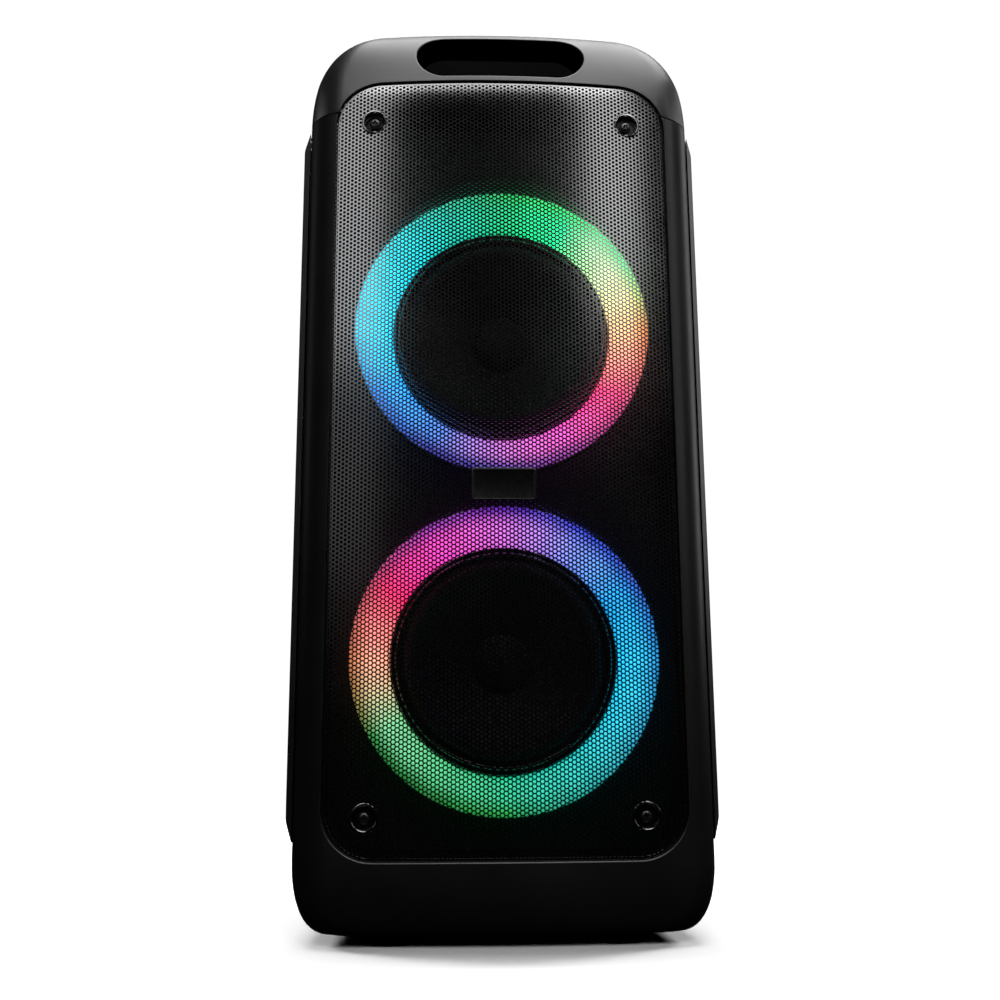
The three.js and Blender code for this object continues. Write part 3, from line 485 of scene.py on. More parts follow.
def surface(name, colour, tone, roughness, grain=2200, bump=0.00006, wear=None, **fixed):
    """A moulded or painted surface: clouded colour between two tones, fine grain in bump and gloss, and
    lighter rubbed edges where wear names their colour. Fixed values go to the shader's own sockets."""
    material, tree, shader = new_material(name)
    for key, value in fixed.items():
        shader.inputs[key.replace("_", " ").title().replace("Ior", "IOR")].default_value = value
    where = node(tree, "ShaderNodeTexCoord").outputs["Object"]
    cloud = noise(tree, where, 17, 5)
    fleck = noise(tree, where, grain * 0.35, 2)
    mostly_cloud = math_node(tree, "MULTIPLY", cloud, 0.7)
    mixed = math_node(tree, "ADD", mostly_cloud, math_node(tree, "MULTIPLY", fleck, 0.3))
    shade = ramp(tree, mixed, [(0.32, colour), (0.68, tone)])
    if wear:
        rounded_normal = node(tree, "ShaderNodeBevel", {"Radius": 0.0012}, samples=6).outputs["Normal"]
        true_normal = node(tree, "ShaderNodeNewGeometry").outputs["Normal"]
        facing = node(
            tree, "ShaderNodeVectorMath", {0: rounded_normal, 1: true_normal}, operation="DOT_PRODUCT"
        ).outputs["Value"]
        edge = spread_to(tree, facing, 1.0, 0.0, 0.86, 0.985)
        patchy = spread_to(tree, noise(tree, where, 120, 4), 0.0, 1.0, 0.42, 0.62)
        rubbed = math_node(tree, "MULTIPLY", math_node(tree, "MULTIPLY", edge, patchy), 0.55)
        shade = mix_colour(tree, rubbed, shade, (*wear, 1))
    tree.links.new(shade, shader.inputs["Base Color"])
    low, high = roughness
    tree.links.new(spread_to(tree, mixed, low, high, 0.3, 0.7), shader.inputs["Roughness"])
    cells = node(tree, "ShaderNodeTexVoronoi", {"Vector": where, "Scale": grain}).outputs["Distance"]
    height = math_node(tree, "ADD", cells, noise(tree, where, grain * 2.3, 2))
    raised = node(tree, "ShaderNodeBump", {"Height": height, "Strength": 1.0, "Distance": bump})
    tree.links.new(raised.outputs["Normal"], shader.inputs["Normal"])
    return material


SHELL = surface(
    "moulded_black", (0.0045, 0.0046, 0.0048), (0.0072, 0.0074, 0.0077), (0.33, 0.42), 1900, 0.000022,
    wear=(0.04, 0.04, 0.042),
)
GUARD = surface(
    "guard_black", (0.004, 0.0041, 0.0042), (0.0064, 0.0065, 0.0067), (0.33, 0.42), 1500, 0.000025,
    wear=(0.03, 0.03, 0.031),
)
MESH_PAINT = surface(
    "painted_steel", (0.12, 0.12, 0.122), (0.16, 0.16, 0.163), (0.15, 0.2), 2600, 0.0000008, metallic=1.0
)
SCREW_STEEL = surface(
    "blackened_steel", (0.05, 0.05, 0.052), (0.1, 0.1, 0.105), (0.22, 0.36), 900, 0.00004,
    wear=(0.35, 0.35, 0.36), metallic=0.9,
)
# Painted shade: a near-black, almost unreflecting finish for the inside of the handle pocket and the slot,
# darker than the moulded black
POCKET_PAINTED_SHADE = surface(
    "pocket_painted_shade", (0.0004,) * 3, (0.0008,) * 3, (0.6, 0.75), 1200, 0.00005, specular_ior_level=0.03
)
GLOSS = surface(
    "gloss_black", (0.004, 0.004, 0.0045), (0.007, 0.007, 0.008), (0.08, 0.16), 600, 0.00001, coat_weight=0.4
)
BADGE_BLACK = surface(
    "badge_black", (0.003, 0.003, 0.0032), (0.005, 0.005, 0.0052), (0.24, 0.34), 900, 0.00001
)
RUBBER = surface("rubber", (0.006,) * 3, (0.012,) * 3, (0.7, 0.86), 1300, 0.00012, wear=(0.03,) * 3)
SOFT_TOUCH = surface(
    "soft_touch", (0.012, 0.012, 0.013), (0.02, 0.02, 0.021), (0.52, 0.66), 2400, 0.00004, wear=(0.05,) * 3
)
PAPER = surface("cone_paper", (0.006, 0.006, 0.0065), (0.014,) * 3, (0.6, 0.8), 900, 0.00018)
INK = surface("pale_print", (0.5, 0.51, 0.52), (0.62, 0.62, 0.63), (0.5, 0.6), 2000, 0.00002)
BOARD = surface("circuit_board", (0.008, 0.035, 0.016), (0.014, 0.055, 0.026), (0.3, 0.45), 700, 0.00005)
FERRITE = surface(
    "ferrite", (0.02, 0.02, 0.022), (0.05, 0.05, 0.053), (0.4, 0.6), 800, 0.00012,
    wear=(0.16,) * 3, metallic=0.3,
)
COPPER = surface(
    "copper_winding", (0.42, 0.16, 0.06), (0.62, 0.27, 0.12), (0.25, 0.4), 3000, 0.00012, metallic=0.85
)
CLOTH = surface("resin_cloth", (0.22, 0.13, 0.04), (0.32, 0.2, 0.08), (0.7, 0.9), 1400, 0.0002)
FIBREBOARD = surface("stained_fibreboard", (0.004,) * 3, (0.009, 0.008, 0.007), (0.75, 0.95), 500, 0.0003)
METAL = surface(
    "aluminium", (0.5, 0.51, 0.52), (0.66, 0.67, 0.68), (0.25, 0.42), 1100, 0.00005,
    wear=(0.85,) * 3, metallic=0.95,
)
BATTERY_WRAP = surface("battery_wrap", (0.01, 0.06, 0.24), (0.02, 0.1, 0.34), (0.3, 0.45), 300, 0.0001)


# Colours of a light ring at each hour of a clock face: in the middle of the diffuser, and at its outer edge.
UPPER_HOURS = [
    ((0, 0.36, 0.13), (0, 0.25, 0.05)),
    ((0, 0.8, 0.24), (0, 0.55, 0.1)),
    ((0.5, 0.85, 0.3), (0.04, 0.6, 0.14)),
    ((1, 0.4, 0.18), (0.5, 0.15, 0.03)),
    ((0.95, 0.02, 0.15), (0.4, 0.02, 0.1)),
    ((0.55, 0.04, 0.34), (0.15, 0.01, 0.15)),
    ((0.33, 0.07, 0.36), (0.03, 0.01, 0.15)),
    ((0.03, 0.1, 0.4), (0.01, 0.01, 0.16)),
    ((0, 0.24, 0.68), (0, 0.1, 0.42)),
    ((0, 0.55, 0.82), (0, 0.46, 0.75)),
    ((0, 0.58, 0.74), (0, 0.56, 0.68)),
    ((0, 0.38, 0.31), (0, 0.3, 0.22)),
]
LOWER_HOURS = [
    ((0.38, 0.08, 0.42), (0.06, 0.01, 0.2)),
    ((0.12, 0.14, 0.5), (0.01, 0.02, 0.32)),
    ((0, 0.2, 0.5), (0, 0.04, 0.28)),
    ((0, 0.32, 0.55), (0, 0.14, 0.34)),
    ((0, 0.32, 0.43), (0, 0.15, 0.24)),
    ((0, 0.3, 0.25), (0, 0.18, 0.15)),
    ((0, 0.27, 0.12), (0, 0.15, 0.02)),
    ((0.03, 0.28, 0.1), (0, 0.09, 0.01)),
    ((0.09, 0.32, 0.14), (0, 0.09, 0.01)),
    ((0.55, 0.21, 0.14), (0.27, 0.08, 0.03)),
    ((0.65, 0.01, 0.09), (0.28, 0.01, 0.05)),
    ((0.56, 0.03, 0.32), (0.15, 0.01, 0.19)),
]
LAMPS_PER_RING = 24.0
GLOW = 2.4


def glow(name, hours, centre_z, inner, outer, strength):
    """A diffuser lit from behind: its colour runs round the ring, and changes towards the outer edge."""
    material, tree, shader = new_material(name)
    shader.inputs["Roughness"].default_value = 0.5
    where = node(tree, "ShaderNodeTexCoord").outputs["Object"]
    split = node(tree, "ShaderNodeSeparateXYZ", {"Vector": where}).outputs
    up = math_node(tree, "SUBTRACT", split["Z"], centre_z * MM)
    angle = math_node(tree, "ARCTAN2", split["X"], up)
    turn = math_node(tree, "FRACT", math_node(tree, "DIVIDE", angle, 2 * math.pi))
    flat = node(tree, "ShaderNodeCombineXYZ", {"X": split["X"], "Y": up}).outputs[0]
    distance = node(tree, "ShaderNodeVectorMath", {0: flat}, operation="LENGTH").outputs["Value"]
    radial = spread_to(tree, distance, 0, 1, inner * MM, outer * MM)
    looped = [*enumerate(hours), (len(hours), hours[0])]
    heart, fringe = (
        ramp(tree, turn, [(hour / len(hours), pair[k]) for hour, pair in looped]) for k in (0, 1)
    )
    to_fringe = spread_to(tree, radial, 0, 1, 0.5, 0.88)
    cloud = noise(tree, where, 60, 2)
    lamps = math_node(tree, "COSINE", math_node(tree, "MULTIPLY", angle, LAMPS_PER_RING))
    pulse = math_node(tree, "MULTIPLY", lamps, 0.06)
    level = math_node(tree, "ADD", pulse, spread_to(tree, cloud, 0.85, 1.15))
    fade = ramp(tree, radial, [(0.0, (0.6,) * 3), (0.1, (1.0,) * 3), (0.94, (1.0,) * 3), (1.0, (0.5,) * 3)])
    power = math_node(tree, "MULTIPLY", math_node(tree, "MULTIPLY", level, fade), strength)
    tree.links.new(mix_colour(tree, to_fringe, heart, fringe), shader.inputs["Emission Color"])
    tree.links.new(power, shader.inputs["Emission Strength"])
    milky = ramp(tree, cloud, [(0.0, (0.5, 0.52, 0.54)), (1.0, (0.7, 0.72, 0.74))])
    tree.links.new(milky, shader.inputs["Base Color"])
    return material


# ---- cabinet and cap

cabinet_levels = foot_levels(0, 0) + [(SEAM_Z - h, inset, inset, inset) for h, inset in reversed(SEAM_EDGE)]
upper_levels = [(CAP_Z + h, inset, inset, inset) for h, inset in SEAM_EDGE]
upper_levels += [level for level in cap_levels(0, 0) if level[0] > CAP_Z + 2]
hollow_levels = foot_levels(WALL, FRONT_WALL, 6) + cap_levels(WALL, FRONT_WALL, 12, 4)

grille_outline = rounded(
    -GRILLE["half_width"], GRILLE["bottom"], GRILLE["half_width"], GRILLE["top"], GRILLE["corner"], 6
)
baffle_front = extent("baffle_board")[0][1]


def seat_tool():
    """The grille's seat, and the window through the front behind it."""
    seat = [(0, on_front(SEAT_DEPTH)), (-LIP, on_front(SEAT_DEPTH)), (-LIP, baffle_front - 1)]
    return opening(grille_outline, on_front, EDGES["grille"], -FAR, seat, "Y")


cabinet = carve(skin(cabinet_levels), skin(hollow_levels), seat_tool())
front_half = block((-FAR, -FAR, -10), (FAR, SPLIT[0], FAR * 2))
rear_half = block((-FAR, SPLIT[1], -10), (FAR, FAR, FAR * 2))
front = carve(cabinet.copy(), front_half, operation="INTERSECT")
front_piece = piece("front_cabinet_skin", front, SHELL, ["front_cabinet"], weighted=True)

port_front = extent("bass_port")[0][1]
PORT_X, _, PORT_Z = middle("bass_port")
PORT_OUTER = across("bass_port")
sockets_floor = SOCKETS_LOW[1] - GAP
sockets_outline = round_node("connection_panel", SOCKETS_CORNER, GAP, "Y")
sockets_seat = [(0, sockets_floor), (-SOCKETS_LEDGE, sockets_floor), (-SOCKETS_LEDGE, INSIDE_REAR)]
sockets_tool = opening(sockets_outline, on_rear, EDGES["sockets"], FAR, sockets_seat, "Y")
port_tool = prism(disc(PORT_X, PORT_Z, PORT_OUTER + GAP), FAR, INSIDE_REAR, "Y")
rear = carve(carve(cabinet, rear_half, operation="INTERSECT"), sockets_tool, port_tool)
rear_piece = piece("rear_cabinet_skin", rear, SHELL, ["rear_cabinet"], weighted=True)

slot_half, pocket_half = SLOT["half_width"], POCKET["half_width"]
slot_radius = (SLOT["top"] - SLOT["bottom"]) / 2 - 0.01
slot_outline = rounded(-slot_half, SLOT["bottom"], slot_half, SLOT["top"], slot_radius, 6, 20)
pocket_outline = rounded(-pocket_half, POCKET["front"], pocket_half, POCKET["rear"], POCKET["corner"], 6)
panel_outline = round_node("control_panel", PANEL_CORNER, GAP, "Z", 6)
panel_floor = PANEL_LOW[2] - GAP

slot_tool = opening(slot_outline, on_front, EDGES["slot"], -FAR, [(0, POCKET["front"] + 6)], "Y")
pocket_tool = opening(pocket_outline, on_crown, EDGES["pocket"], FAR * 2, [(0, POCKET["floor"])], "Z")
panel_seat = [(0, panel_floor), (-PANEL_LEDGE, panel_floor), (-PANEL_LEDGE, panel_floor - 30)]
panel_tool = opening(panel_outline, on_crown, EDGES["panel"], FAR * 2, panel_seat, "Z")

# What the hollow leaves standing inside the cap: the pocket's walls, the slot's throat and the panel's frame
wall = POCKET["wall"]
liner = stack(pocket_outline, [(wall, FAR * 2), (wall, POCKET["floor"] - wall)])
throat_half, throat_low = slot_half + THROAT["side"], SLOT["bottom"] - THROAT["below"]
throat_outline = rounded(-throat_half, throat_low, throat_half, CROWN_Z + 10, THROAT["corner"])
throat = prism(throat_outline, FRONT_Y + 2, POCKET["front"] + 1, "Y")
panel_frame = stack(panel_outline, [(3, FAR * 2), (3, panel_floor - 3)])
hollow = carve(skin(hollow_levels), liner, throat, panel_frame)
cap = carve(skin(upper_levels), hollow, pocket_tool, slot_tool, panel_tool, seat_tool())
piece("cap_skin", cap, SHELL, ["top_cap"], weighted=True)

# The insides of the pocket and the slot get a near-black material that barely reflects: painted shade in the
# hollow, darker than the cap's own plastic
cap.materials.append(POCKET_PAINTED_SHADE)
for face in cap.polygons:
    x, y, z = (v / MM for v in face.center)
    in_pocket = abs(x) < pocket_half + 0.1 and POCKET["front"] - 0.1 < y
    beside_slot = abs(x) < slot_half + 1 and SLOT["bottom"] - 1 < z < SLOT["top"] + 1
    in_slot = beside_slot and y > front_skin(x, z) + 1.4
    if y < POCKET["rear"] + 0.1 and z < CROWN_Z - 7 and (in_pocket or in_slot):
        face.material_index = 1


# ---- side guards


def soft_least(values, blend):
    """The least of some heights, with the creases between them rounded."""
    low = values[0]
    for value in values[1:]:
        share = max(blend - abs(low - value), 0) / blend
        low = min(low, value) - share * share * blend / 4
    return low


def graded(low, high, fine, step, coarse):
    """Places from low to high, close together near both ends."""
    ends = np.arange(0, fine, step)
    parts = max(2, int((high - low - 2 * fine) / coarse))
    return [*(low + ends), *np.linspace(low + fine, high - fine, parts), *sorted(high - ends)]


def guard(side, node_name):
    low, high = extent(node_name)
    inner = min(abs(low[0]), abs(high[0]))
    proud = max(abs(low[0]), abs(high[0])) - inner
    ys = graded(low[1], high[1], 14, 0.8, 12)
    zs = graded(low[2], high[2], 17, 0.9, 20)
    points, faces = [], []
    for z in zs:
        for y in ys:
            slopes = [
                proud,
                min(y - low[1], high[1] - y) * GUARD_SLOPES["edge"],
                (z - low[2]) * GUARD_SLOPES["bottom"],
                (high[2] - z) * GUARD_SLOPES["top"],
            ]
            points.append((side * (inner + max(soft_least(slopes, 1.1), 0)), y, z))
    back = len(points)
    points += [(side * inner, y, z) for z in zs for y in ys]
    columns = len(ys)
    for j in range(len(zs) - 1):
        for i in range(columns - 1):
            a = j * columns + i
            faces.append((a, a + 1, a + columns + 1, a + columns))
            faces.append((back + a, back + a + columns, back + a + columns + 1, back + a + 1))
    return mesh_of(points, faces)


for side, word in ((-1, "left"), (1, "right")):
    name = f"side_guard_{word}"
    piece(f"guard_{word}", guard(side, name), GUARD, [name], merge=0.02)


# ---- perforated grille

screw_places = [middle(f"grille_screw_{k}") for k in range(1, 5)]


def inside_grille(x, z, margin):
    """How far a point is inside the grille's outline, less a margin."""
    corner = GRILLE["corner"]
    flat_x = GRILLE["half_width"] - corner
    mid_z = (GRILLE["bottom"] + GRILLE["top"]) / 2
    flat_z = (GRILLE["top"] - GRILLE["bottom"]) / 2 - corner
    over_x = np.maximum(np.abs(x) - flat_x, 0)
    over_z = np.maximum(np.abs(z - mid_z) - flat_z, 0)
    return corner - np.hypot(over_x, over_z) - margin


def perforated_sheet():
    """A sheet of hexagonal cells, each with a hole, that follows the front. Neighbours share corners."""
    pitch = GRILLE["pitch"]
    column_step = pitch * math.sqrt(3) / 2
    columns = int(GRILLE["half_width"] / column_step)
    rows = int((GRILLE["top"] - GRILLE["bottom"]) / pitch) + 2
    i, j = np.meshgrid(np.arange(-columns, columns + 1), np.arange(rows), indexing="ij")
    x = (i * column_step).ravel()
    z = (GRILLE["bottom"] + (j + 0.5 * (i % 2)) * pitch).ravel()
    keep = inside_grille(x, z, GRILLE["border"] - 0.6) > 0
    for sx, _, sz in screw_places:
        keep &= np.hypot(x - sx, z - sz) > DIMPLE["radius"] + 1.0
    x, z = x[keep], z[keep]
    cells = len(x)
    angles = np.arange(6) * math.pi / 3

    def hexagons(radius):
        sides = [x[:, None] + radius * np.cos(angles), z[:, None] + radius * np.sin(angles)]
        return np.stack([side.ravel() for side in sides], 1)

    corners, holes = hexagons(pitch / math.sqrt(3)), hexagons(GRILLE["hole"])
    shared, index = np.unique(np.round(corners, 2), axis=0, return_inverse=True)
    index = index.reshape(cells, 6)
    flat = np.concatenate([shared, holes, holes])
    depth = np.full(len(flat), GRILLE["recess"] + 0.1)
    depth[len(shared) + len(holes) :] += GRILLE["sheet"]
    skin_y = np.array([front_skin(u, v) for u, v in flat])
    points = np.stack([flat[:, 0], skin_y + depth, flat[:, 1]], 1) * MM
    hole = len(shared) + np.arange(cells * 6).reshape(cells, 6)
    inner = hole + cells * 6
    after = np.roll(np.arange(6), -1)
    web = np.stack([index, index[:, after], hole[:, after], hole], 2).reshape(-1, 4)
    wall = np.stack([hole, hole[:, after], inner[:, after], inner], 2).reshape(-1, 4)
    quads = np.concatenate([web, wall])
    mesh = bpy.data.meshes.new("perforated")
    mesh.vertices.add(len(points))
    mesh.vertices.foreach_set("co", points.ravel())
    mesh.loops.add(quads.size)
    mesh.loops.foreach_set("vertex_index", quads.ravel().astype(np.int32))
    mesh.polygons.add(len(quads))
    mesh.polygons.foreach_set("loop_start", np.arange(0, quads.size, 4, dtype=np.int32))
    mesh.update(calc_edges=True)
    return mesh


sheet = perforated_sheet()
sheet.name = "grille_sheet"
sheet.shade_flat()
sheet.materials.append(MESH_PAINT)
sheet_piece = in_scene("grille_sheet", sheet)
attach(sheet_piece, "enclosure")
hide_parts("front_grille")

recess = GRILLE["recess"]
rim_profile = [
    (-GAP, on_front(recess + 1.6)),
    (-GAP, on_front(recess + 0.5)),
    (-GAP - 0.4, on_front(recess + 0.12)),
    (-GAP - 0.9, on_front(recess)),
    (-GRILLE["border"], on_front(recess)),
    (-GRILLE["border"] - 0.15, on_front(recess + 0.2)),
    (-GRILLE["border"], on_front(recess + 1.6)),
]
rim = stack(grille_outline, rim_profile, "Y", closed=True)
piece("grille_rim", rim, MESH_PAINT)


def cross_arm(x, z, turn, face):
    """A cutter for one arm of a cross recess in a screw's head."""
    arm = rounded(-2.2, -0.5, 2.2, 0.5, 0.3, steps=4)
    cos, sin = math.cos(turn), math.sin(turn)
    spun = lambda by: [(x + u * cos - v * sin, z + u * sin + v * cos) for u, v in arm(by)]
    return stack(spun, [(0.35, face - 3), (0.2, face + 0.3), (-0.1, face + 1.5)], "Y")


for k, (sx, _, sz) in enumerate(screw_places, 1):
    low, high = extent(f"grille_screw_{k}")
    floor = high[1] + GAP
    lip = front_skin(sx, sz) + recess
    flange, cup = DIMPLE["flange"], DIMPLE["radius"]
    dimple = [
        (0, floor + 1.2), (cup + 0.6, floor + 1.2), (cup + 0.6, lip + 1.0),
        (flange, lip + 1.0), (flange, lip + 0.15), (flange - 0.4, lip - 0.1),
        (cup + 0.7, lip - 0.15), (cup + 0.1, lip + 0.25), (cup - 0.2, lip + 1.0),
        (cup - 0.5, floor - 0.8), (cup - 1.3, floor), (0, floor),
    ]
    piece(f"dimple_{k}", turned(dimple, (sx, sz), "Y", 48), MESH_PAINT)
    radius = across(f"grille_screw_{k}")
    top = low[1]
    head = [
        (0, high[1]), (radius, high[1]), (radius, high[1] - 1.0), (radius * 0.94, high[1] - 1.7),
        (radius * 0.78, high[1] - 2.25), (radius * 0.5, top + 0.06), (0, top),
    ]
    turn = 0.4 + 0.9 * k  # each screw stopped at its own angle
    arms = [cross_arm(sx, sz, angle, top) for angle in (turn, turn + math.pi / 2)]
    screw = carve(turned(head, (sx, sz), "Y", 48), *arms)
    piece(f"screw_{k}", screw, SCREW_STEEL, [f"grille_screw_{k}"])

face = extent("badge_plate")[0][1]
badge_levels = [
    (0, on_front(recess - GAP)), (0, face + 0.45), (-0.15, face + 0.15), (-0.5, face),
    (-1.6, face), (-1.8, face + 0.25), (-2.2, face + 0.3),
]
badge = stack(round_node("badge_plate", 2, 0, "Y", 4), badge_levels, "Y")
piece("badge", badge, BADGE_BLACK, ["badge_plate"])


# ---- drivers and light rings


def smooth_profile(points):
    """A closed profile with its corners rounded by cutting them twice."""
    for _ in range(2):
        out = []
        for (r0, h0), (r1, h1) in zip(points, points[1:] + points[:1]):
            out += [(0.8 * r0 + 0.2 * r1, 0.8 * h0 + 0.2 * h1), (0.2 * r0 + 0.8 * r1, 0.2 * h0 + 0.8 * h1)]
        points = out
    return points


def diffuser(ring, inner):
    """A funnel that opens towards the front."""
    low, high = extent(ring)
    outer, front, back = across(ring), low[1], high[1]
    return [
        (outer, front), (outer, front + 2.5), (inner + 0.4, back), (inner, back - 2.5),
        (inner + 5, back - 6.5), (outer - 9, front + 1.6),
    ]


def trim(ring):
    """A step down from the diffuser with a bead on its inner edge."""
    low, high = extent(ring)
    outer, bead = across(ring), low[1]
    return [
        (outer, high[1]), (outer, bead + 1.4), (outer - 1.5, bead + 1.0),
        (outer - 3.2, bead + 1.3), (outer - 4.0, bead + 0.5), (outer - 5.0, bead),
        (outer - 6.0, bead + 0.5), (outer - 6.8, bead + 1.6), (outer - 6.8, high[1]),
    ]


def cone(name, steps=14):
    """A curved cone from the neck out to its edge, thicker at the neck."""
    low, high = extent(name)
    outer = across(name)
    flare = lambda part: CONE_NECK + (outer - CONE_NECK) * (1 - (1 - part) ** 1.15)
    depth = high[1] - low[1] - 2.8
    face = [(flare(k / steps), low[1] + depth * (1 - k / steps)) for k in range(steps + 1)]
    back = [(r, h + 1.2 + 1.4 * (1 - k / steps)) for k, (r, h) in enumerate(face)]
    back[-1] = (outer, low[1] + 1.4)
    return face + back[::-1]


def dome(name):
    """A dust cap 1 mm thick."""
    low, high = extent(name)
    radius, rise = across(name), high[1] - low[1]
    angles = np.linspace(0, math.pi / 2, 12)
    over = [(radius * math.sin(a), high[1] - rise * math.cos(a)) for a in angles]
    under = [((radius - 1) * math.sin(a), high[1] - (rise - 1) * math.cos(a)) for a in angles[::-1]]
    over[0], under[-1] = (0, low[1]), (0, low[1] + 1)
    return over + under


def roll(name, inner):
    """A half-round surround 1.2 mm thick."""
    low, high = extent(name)
    outer, height = across(name), high[1] - low[1]
    mid, half = (outer + inner) / 2, (outer - inner) / 2
    angles = np.linspace(0, math.pi, 17)
    over = [(mid - half * math.cos(a), high[1] - height * math.sin(a)) for a in angles]
    half, height = half - 1.2, height - 1.2
    return over + [(mid - half * math.cos(a), high[1] - height * math.sin(a)) for a in angles[::-1]]


for word, hours in (("upper", UPPER_HOURS), ("lower", LOWER_HOURS)):
    ring, trim_ring, cone_node = f"light_ring_{word}", f"trim_ring_{word}", f"cone_{word}"
    cap_node, roll_node = f"dust_cap_{word}", f"surround_{word}"
    x, _, z = middle(ring)
    inner = across(trim_ring) + 0.6
    lit = glow(f"ring_glow_{word}", hours, z, inner, across(ring), GLOW)
    spin = lambda profile, segments: turned(profile, (x, z), "Y", segments)
    piece(f"diffuser_{word}", spin(smooth_profile(diffuser(ring, inner)), 144), lit, [ring])
    piece(f"trim_{word}", spin(smooth_profile(trim(trim_ring)), 120), GLOSS, [trim_ring])
    body = f"cone_assembly_{word}"
    piece(f"cone_paper_{word}", spin(cone(cone_node), 120), PAPER, [cone_node], body)
    piece(f"dome_{word}", spin(dome(cap_node), 72), PAPER, [cap_node], body)
    rolled = spin(roll(roll_node, across(cone_node) + GAP), 120)
    piece(f"roll_{word}", rolled, RUBBER, [roll_node])


# ---- control panel


KEYS = [f"key_{k}" for k in range(1, 7)]
KEY_FLANGE = 1.5
KNOBS = {"volume_knob": "volume_dial", "mic_knob": "mic_dial", "guitar_knob": "guitar_dial"}
KNOB_SWEEP = math.radians(300)
KNOB_MARKS = 11
SHAFT_HOLE = 3.4
panel_face = PANEL_HIGH[2]


def through_panel(outline):
    return prism(outline, PANEL_LOW[2] - 20, panel_face + 20)


plate = stack(
    round_node("control_panel", PANEL_CORNER - GAP, 0, "Z", 8),
    [(0, PANEL_LOW[2]), (0, panel_face - 0.5), (-0.15, panel_face - 0.15), (-0.5, panel_face)],
)
openings = [through_panel(disc(*middle(name)[:2], SHAFT_HOLE, 48)) for name in KNOBS]
openings += [through_panel(round_node(name, 1.4, GAP - KEY_FLANGE, "Z", 6, 6)) for name in KEYS]
openings.append(through_panel(round_node("display_lens", 2.2, GAP, "Z", 6, 6)))
piece("panel_plate", carve(plate, *openings), GLOSS, ["control_panel"], weighted=True)

lens_low, lens_high = extent("display_lens")
lens_top = lens_high[2]
lens = stack(
    round_node("display_lens", 2, 0, "Z", 6, 6),
    [(0, lens_low[2]), (0, lens_top - 0.4), (-0.12, lens_top - 0.1), (-0.5, lens_top)],
)
piece("lens", lens, GLOSS, ["display_lens"])

for name, body in KNOBS.items():
    low, high = extent(name)
    x, y = middle(name)[:2]
    radius, top = across(name), high[2]
    large = radius > 12
    bottom = panel_face + GAP
    knob = [(0, low[2]), (3, low[2]), (3, bottom), (radius, bottom), (radius, bottom + 0.8)]
    for part in np.linspace(0.15, 0.85, 6):
        knob.append((radius - 0.8 * part, bottom + 0.8 + (top - bottom - 2.6) * part, 1))
    knob += [
        (radius - 0.9, top - 1.3), (radius - 1.2, top - 0.5), (radius - 1.9, top - 0.08),
        (radius - 2.6, top), (radius * 0.55, top - 0.35), (0, top - 0.45),
    ]
    flutes = 44 if large else 20
    cap = turned(knob, (x, y), "Z", flutes * 6, flutes, 0.55)
    pointer = rounded(x - 0.8, y + radius * 0.45, x + 0.8, y + radius - 2.2, 0.6, steps=5)
    groove = stack(pointer, [(0.15, top + 5), (0.15, top - 0.8)])
    piece(f"{body}_cap", carve(cap, groove), SOFT_TOUCH, [name], body)
    filling = stack(pointer, [(0, top - 0.79), (0, top - 0.35), (-0.2, top - 0.25)])
    piece(f"{body}_pointer", filling, INK, body=body)
    near = radius + (2.6 if large else 1.8)
    far = near + (2.4 if large else 1.4)
    for k in range(KNOB_MARKS):
        turn = KNOB_SWEEP * (k / (KNOB_MARKS - 1) - 0.5)
        sin, cos = math.sin(turn), math.cos(turn)
        tick = [(-0.3, near), (0.3, near), (0.3, far), (-0.3, far)]
        spun = [(x + u * cos + v * sin, y - u * sin + v * cos) for u, v in tick]
        piece(f"{body}_mark_{k + 1}", prism(lambda by: spun, panel_face + 0.01, panel_face + 0.07), INK)


def bar(u0, v0, u1, v1):
    return [(u0, v0), (u1, v0), (u1, v1), (u0, v1)]


PLUS = [
    *[(-2.4, -0.4), (-0.4, -0.4), (-0.4, -2.4), (0.4, -2.4), (0.4, -0.4), (2.4, -0.4)],
    *[(2.4, 0.4), (0.4, 0.4), (0.4, 2.4), (-0.4, 2.4), (-0.4, 0.4), (-2.4, 0.4)],
]
# Play, skip, less, more, record and light pattern
SIGNS = [
    [[(-1.6, -2.2), (2.4, 0), (-1.6, 2.2)]],
    [[(-3.2, -1.8), (-0.4, 0), (-3.2, 1.8)], [(0, -1.8), (2.8, 0), (0, 1.8)]],
    [bar(-2.4, -0.4, 2.4, 0.4)],
    [PLUS],
    [arc(0, 0, 2.2, 0, 2 * math.pi, 24)[:-1]],
    [bar(-2.6, -1.6, -1.6, 0.4), bar(-0.5, -1.6, 0.5, 1.4), bar(1.6, -1.6, 2.6, 2.4)],
]
for k, (name, signs) in enumerate(zip(KEYS, SIGNS), 1):
    low, high = extent(name)
    x, y = middle(name)[:2]
    top = high[2]
    flange_top = low[2] + 0.6
    levels = [(KEY_FLANGE, low[2]), (KEY_FLANGE, flange_top), (0, flange_top), (0, top - 0.7)]
    levels += [(-0.2, top - 0.25), (-0.7, top), (-2.0, top - 0.12), (-3.4, top - 0.2)]
    cap = stack(round_node(name, 1.2, -KEY_FLANGE, "Z", 6, 6), levels)
    piece(f"key_cap_{k}", cap, SOFT_TOUCH, [name], f"button_{k}")
    for n, shape in enumerate(signs, 1):
        moved = [(x + u, y + v) for u, v in shape]
        sign = prism(lambda by: moved, top - 0.2, top - 0.03)
        piece(f"key_sign_{k}_{n}", sign, INK, body=f"button_{k}")


# ---- rear sockets

JACKS = ("mic_jack", "guitar_jack")
ROCKER_HOLE = (10, 13)
back = SOCKETS_HIGH[1]


def through_plate(outline):
    return prism(outline, INSIDE_REAR, FAR, "Y")


